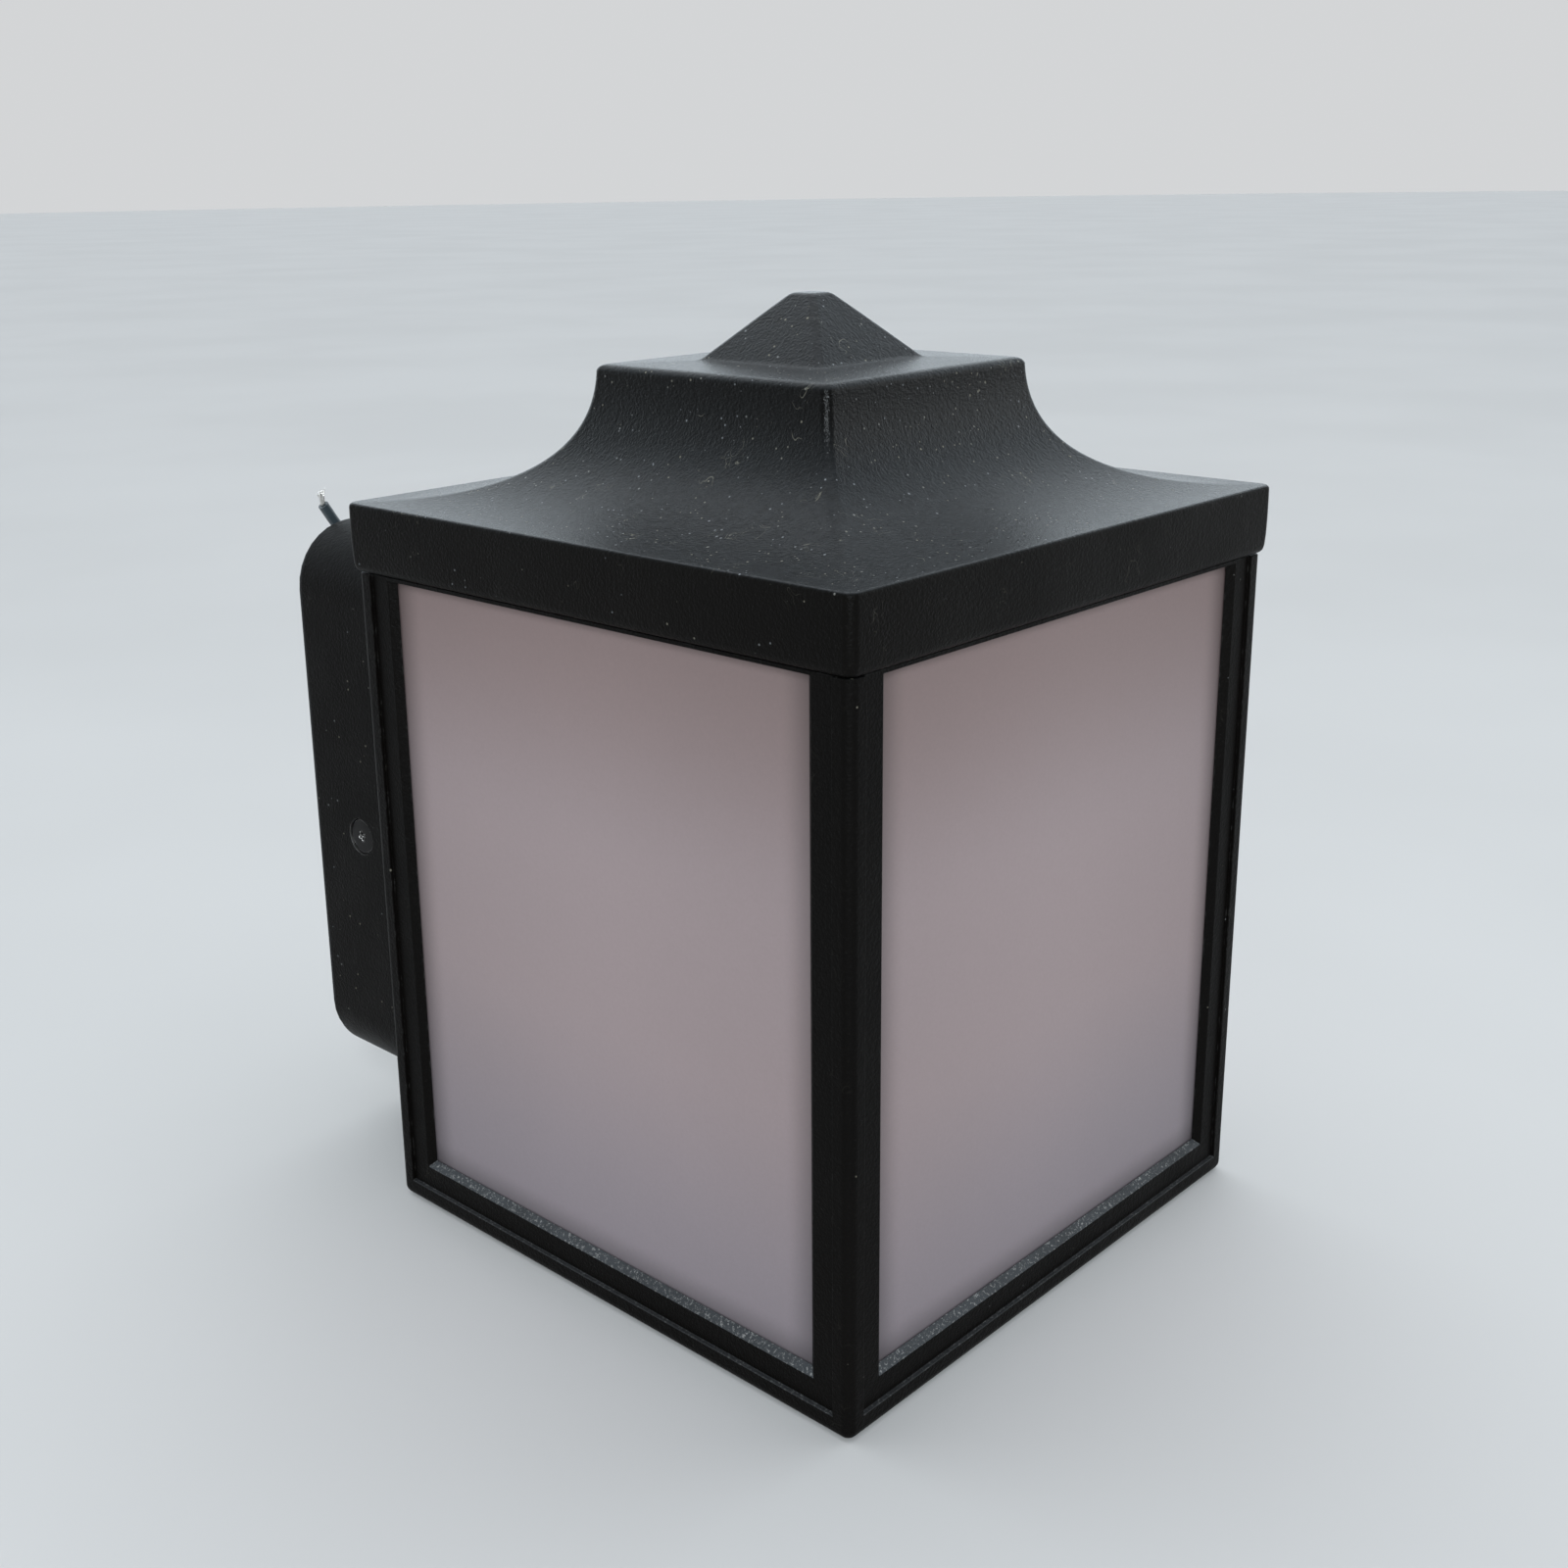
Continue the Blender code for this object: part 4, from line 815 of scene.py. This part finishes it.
# ---------------------------------------------------------------- wall housing
def countersink_tool(sx):
    """Shaft hole, cone and counterbore of a side screw in one turned piece, so no thin ring is left between them."""
    n = 48
    rows = [(35.0, 2.2), (HOUSING_HALF - 2.975, 2.2), (HOUSING_HALF - 0.725, 4.45), (HOUSING_HALF + 2.0, 4.45)]
    bm = bmesh.new()
    rings = []
    for x, r in rows:
        rings.append([bm.verts.new(Vector((sx * x, SCREW_Y + r * math.cos(2 * math.pi * i / n), r * math.sin(2 * math.pi * i / n))) * MM)
                      for i in range(n)])
    for a, b in zip(rings, rings[1:]):
        for i in range(n):
            j = (i + 1) % n
            bm.faces.new((a[i], a[j], b[j], b[i]))
    bm.faces.new(list(reversed(rings[0])))
    bm.faces.new(rings[-1])
    bmesh.ops.recalc_face_normals(bm, faces=bm.faces)
    return bm


def make_housing():
    z0, z1 = zl(HOUSING_Z[0]), zl(HOUSING_Z[1])
    t = HOUSING_WALL
    s = Solid("housing_casting", rounded_box_bm((-HOUSING_HALF, HOUSING_FRONT, z0), (HOUSING_HALF, HOUSING_BACK, z1), 1, HOUSING_R, 24),
              [PAINT, BARE_RIM])
    s.do(rounded_box_bm((-HOUSING_HALF + t, HOUSING_FRONT + t, z0 + t), (HOUSING_HALF - t, 5, z1 - t), 1, HOUSING_R - t, 24))
    s.cut_rod("Y", (0, HOUSING_FRONT + 2, WIRE_Z), 5.0, 12, 32)
    for n, x, z in HOUSING_SCREWS:
        s.cut_rod("Y", (x, HOUSING_FRONT + 2, z), 2.1, 12, 24)
    for sx in (-1, 1):
        x0, x1 = sorted((sx * 44.5, sx * 52.9))
        s.add_box((x0, HOUSING_FRONT + 1, -5.5), (x1, -12.5, 5.5))
        s.do(countersink_tool(sx))
    for x in (-35.5, 35.5):
        s.cut_rod("Y", (x, HOUSING_FRONT + 2, 35.0), 1.8, 12, 24)
    s.cut_rod("Y", (-24, HOUSING_FRONT + 2, -24), 1.8, 12, 24)
    ob = s.done(0.28, 3, 28.0)
    for f in ob.data.polygons:
        c = f.center / MM
        r = math.hypot(c.y - SCREW_Y, c.z)
        if abs(c.x) > HOUSING_HALF - 0.6 and 4.3 < r < 4.8 and abs(f.normal.x) < 0.97:
            f.material_index = 1
    return ob


housing = make_housing()
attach(housing, "lantern")
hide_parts("wall_housing")


# ---------------------------------------------------------------- side screws
def side_screw(name, sx):
    head_r, shaft_r, length = 4.1, 1.9, 11.2
    prof = [(0, -0.0), (1.6, -0.0), (head_r - 0.25, -0.05), (head_r - 0.06, -0.12), (head_r, -0.24), (head_r - 0.05, -0.36),
            (shaft_r + 0.05, -0.3 - (head_r - shaft_r)), (shaft_r, -0.45 - (head_r - shaft_r))]
    # rolled thread
    z = -3.3
    while z > -length + 1.0:
        prof += [(shaft_r - 0.28, z), (shaft_r, z - 0.35)]
        z -= 0.7
    prof += [(shaft_r - 0.28, z), (shaft_r - 0.7, -length), (0, -length)]
    bm = bmesh.new()
    n = 48
    rings = []
    for r, h in prof:
        if r == 0:
            rings.append([bm.verts.new((0, 0, h * MM))])
        else:
            rings.append([bm.verts.new((r * math.cos(2 * math.pi * i / n) * MM, r * math.sin(2 * math.pi * i / n) * MM, h * MM)) for i in range(n)])
    for a, b in zip(rings, rings[1:]):
        for i in range(n):
            j = (i + 1) % n
            if len(a) == 1:
                bm.faces.new((a[0], b[j], b[i]))
            elif len(b) == 1:
                bm.faces.new((a[i], a[j], b[0]))
            else:
                bm.faces.new((a[i], a[j], b[j], b[i]))
    s = Solid(name, bm, [BLACK_SCREW])
    for ang in (0.35, 0.35 + math.pi / 2):
        w = bmesh.new()
        bmesh.ops.create_cone(w, cap_ends=True, segments=4, radius1=0.95 * MM, radius2=2.75 * MM, depth=3.2 * MM)
        bmesh.ops.rotate(w, cent=(0, 0, 0), matrix=Matrix.Rotation(math.pi / 4, 3, "Z"), verts=w.verts)
        bmesh.ops.scale(w, vec=(1.0, 0.27, 1.0), verts=w.verts)
        bmesh.ops.rotate(w, cent=(0, 0, 0), matrix=Matrix.Rotation(ang, 3, "Z"), verts=w.verts)
        s.do(w)
    ob = s.done(0.07, 2, 34.0)
    turn = Vector((sx, 0, 0)).to_track_quat("Z", "Y").to_matrix().to_4x4()
    ob.data.transform(Matrix.Translation(Vector((sx * (HOUSING_HALF - 0.3), SCREW_Y, 0)) * MM) @ turn)
    return ob


for side, sx in (("left", -1), ("right", 1)):
    o = side_screw("countersunk_" + side, sx)
    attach(o, "screw_" + side)
    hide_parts("side_screw_" + side)


# ---------------------------------------------------------------- pieces whose CAD shape stays
def refinish(names, mat, bevel=0.0, segments=2):
    for n in names:
        o = NODES[n]
        for s in o.material_slots:
            s.link = "OBJECT"
            s.material = mat
        if bevel:
            w = o.modifiers.new("weld", "WELD")
            w.merge_threshold = 1e-6
            d = o.modifiers.new("flats", "DECIMATE")
            d.decimate_type = "DISSOLVE"
            d.angle_limit = math.radians(0.5)
            v = o.modifiers.new("eased", "BEVEL")
            v.limit_method = "ANGLE"
            v.angle_limit = math.radians(32)
            v.width = bevel * MM
            v.segments = segments
            v.use_clamp_overlap = True
            weighted(o)


refinish(["base_plate"], PAINT_IN, 0.3)
refinish(["pane_retainer_front_left", "pane_retainer_front_right", "pane_retainer_back_left", "pane_retainer_back_right"], PAINT_IN, 0.2)
refinish(["base_screw_front_left", "base_screw_front_right", "base_screw_back_left", "base_screw_back_right",
          "roof_screw_front_left", "roof_screw_front_right", "roof_screw_back_left", "roof_screw_back_right",
          "housing_screw_top_left", "housing_screw_top_right", "housing_screw_bottom_left", "housing_screw_bottom_right",
          "driver_screw_left", "driver_screw_right", "board_screw_left", "board_screw_right"], ZINC_SCREW)
refinish(["wall_bracket"], ZINC, 0.25)
refinish(["bracket_ground_screw", "ground_terminal_screw"], GREEN_SCREW)
refinish(["ground_terminal"], COPPER)
refinish(["heat_sink_plate"], ALU, 0.2)
refinish(["led_board"], BOARD)
refinish(["roof_seal", "housing_gasket", "wall_gasket"], FOAM)
refinish(["wire_grommet"], RUBBER)
refinish(["led_driver"], DRIVER, 0.6, 3)
refinish(["led_wire_red"], INS_RED)
refinish(["led_wire_black"], INS_BLACK)

# ---------------------------------------------------------------- floor
bm = bmesh.new()
bmesh.ops.create_circle(bm, cap_ends=True, segments=96, radius=14.0)
floor = bpy.data.objects.new("floor", bpy.data.meshes.new("floor"))
bm.to_mesh(floor.data)
bm.free()
bpy.context.scene.collection.objects.link(floor)
floor.location = (0, YC * MM, Z0 * MM - 0.00005)
fm, nt, b = new_material("pale_floor")
p = place_node(nt)
nt.links.new(mix_colour(nt, remap(nt, noise(nt, p, 3.0, 3.0), 0.3, 0.7), (0.60, 0.595, 0.585), (0.63, 0.625, 0.615)), b.inputs["Base Color"])
b.inputs["Roughness"].default_value = 0.75
b.inputs["Specular IOR Level"].default_value = 0.2
floor.data.materials.append(fm)

# ---------------------------------------------------------------- light
world = bpy.data.worlds.new("studio")
bpy.context.scene.world = world
world.use_nodes = True
nt = world.node_tree
bg = nt.nodes["Background"]
d = node(nt, "ShaderNodeTexCoord").outputs["Generated"]
z = node(nt, "ShaderNodeSeparateXYZ", {"Vector": d})
# pale behind the lantern, dimmer behind the camera and overhead
along = node(nt, "ShaderNodeVectorMath", {0: d, 1: (0.70, 0.70, 0.0)}, operation="DOT_PRODUCT").outputs["Value"]
back = remap(nt, along, -0.60, 0.70)
high = remap(nt, z.outputs["Z"], 0.38, 0.92)
low_c = mix_colour(nt, back, (0.17, 0.165, 0.16), (1.28, 1.42, 1.52))
col = mix_colour(nt, high, low_c, (0.40, 0.43, 0.47))
# the backdrop itself is a plain pale wall
seen = node(nt, "ShaderNodeLightPath").outputs["Is Camera Ray"]
col = mix_colour(nt, seen, col, (0.655, 0.665, 0.675))
nt.links.new(col, bg.inputs["Color"])
bg.inputs["Strength"].default_value = 1.0


def softbox(name, place, target, size, power, colour=(1, 1, 1)):
    l = bpy.data.lights.new(name, "AREA")
    l.shape = "RECTANGLE"
    l.size, l.size_y = size
    l.energy = power
    l.color = colour
    o = bpy.data.objects.new(name, l)
    bpy.context.scene.collection.objects.link(o)
    o.location = place
    o.rotation_mode = "QUATERNION"
    o.rotation_quaternion = (Vector(target) - Vector(place)).to_track_quat("-Z", "Y")
    return o


middle = (0.0, -0.10, 0.02)
sun = bpy.data.lights.new("sky", "SUN")
sun.energy = 1.05
sun.angle = math.radians(70)
sun.color = (0.94, 0.97, 1.0)
so = bpy.data.objects.new("sky", sun)
bpy.context.scene.collection.objects.link(so)
so.rotation_mode = "QUATERNION"
so.rotation_quaternion = Vector((-0.18, -0.30, -1.0)).to_track_quat("-Z", "Y")
# a tall window's worth of light from the camera's side
softbox("window", (-1.45, -1.50, 0.85), middle, (0.34, 1.5), 38.0, (0.88, 0.95, 1.0))
softbox("side_right", (1.5, -1.2, 0.5), middle, (0.9, 0.8), 1.5, (1.0, 0.95, 0.88))

bpy.context.scene.view_settings.view_transform = "Standard"
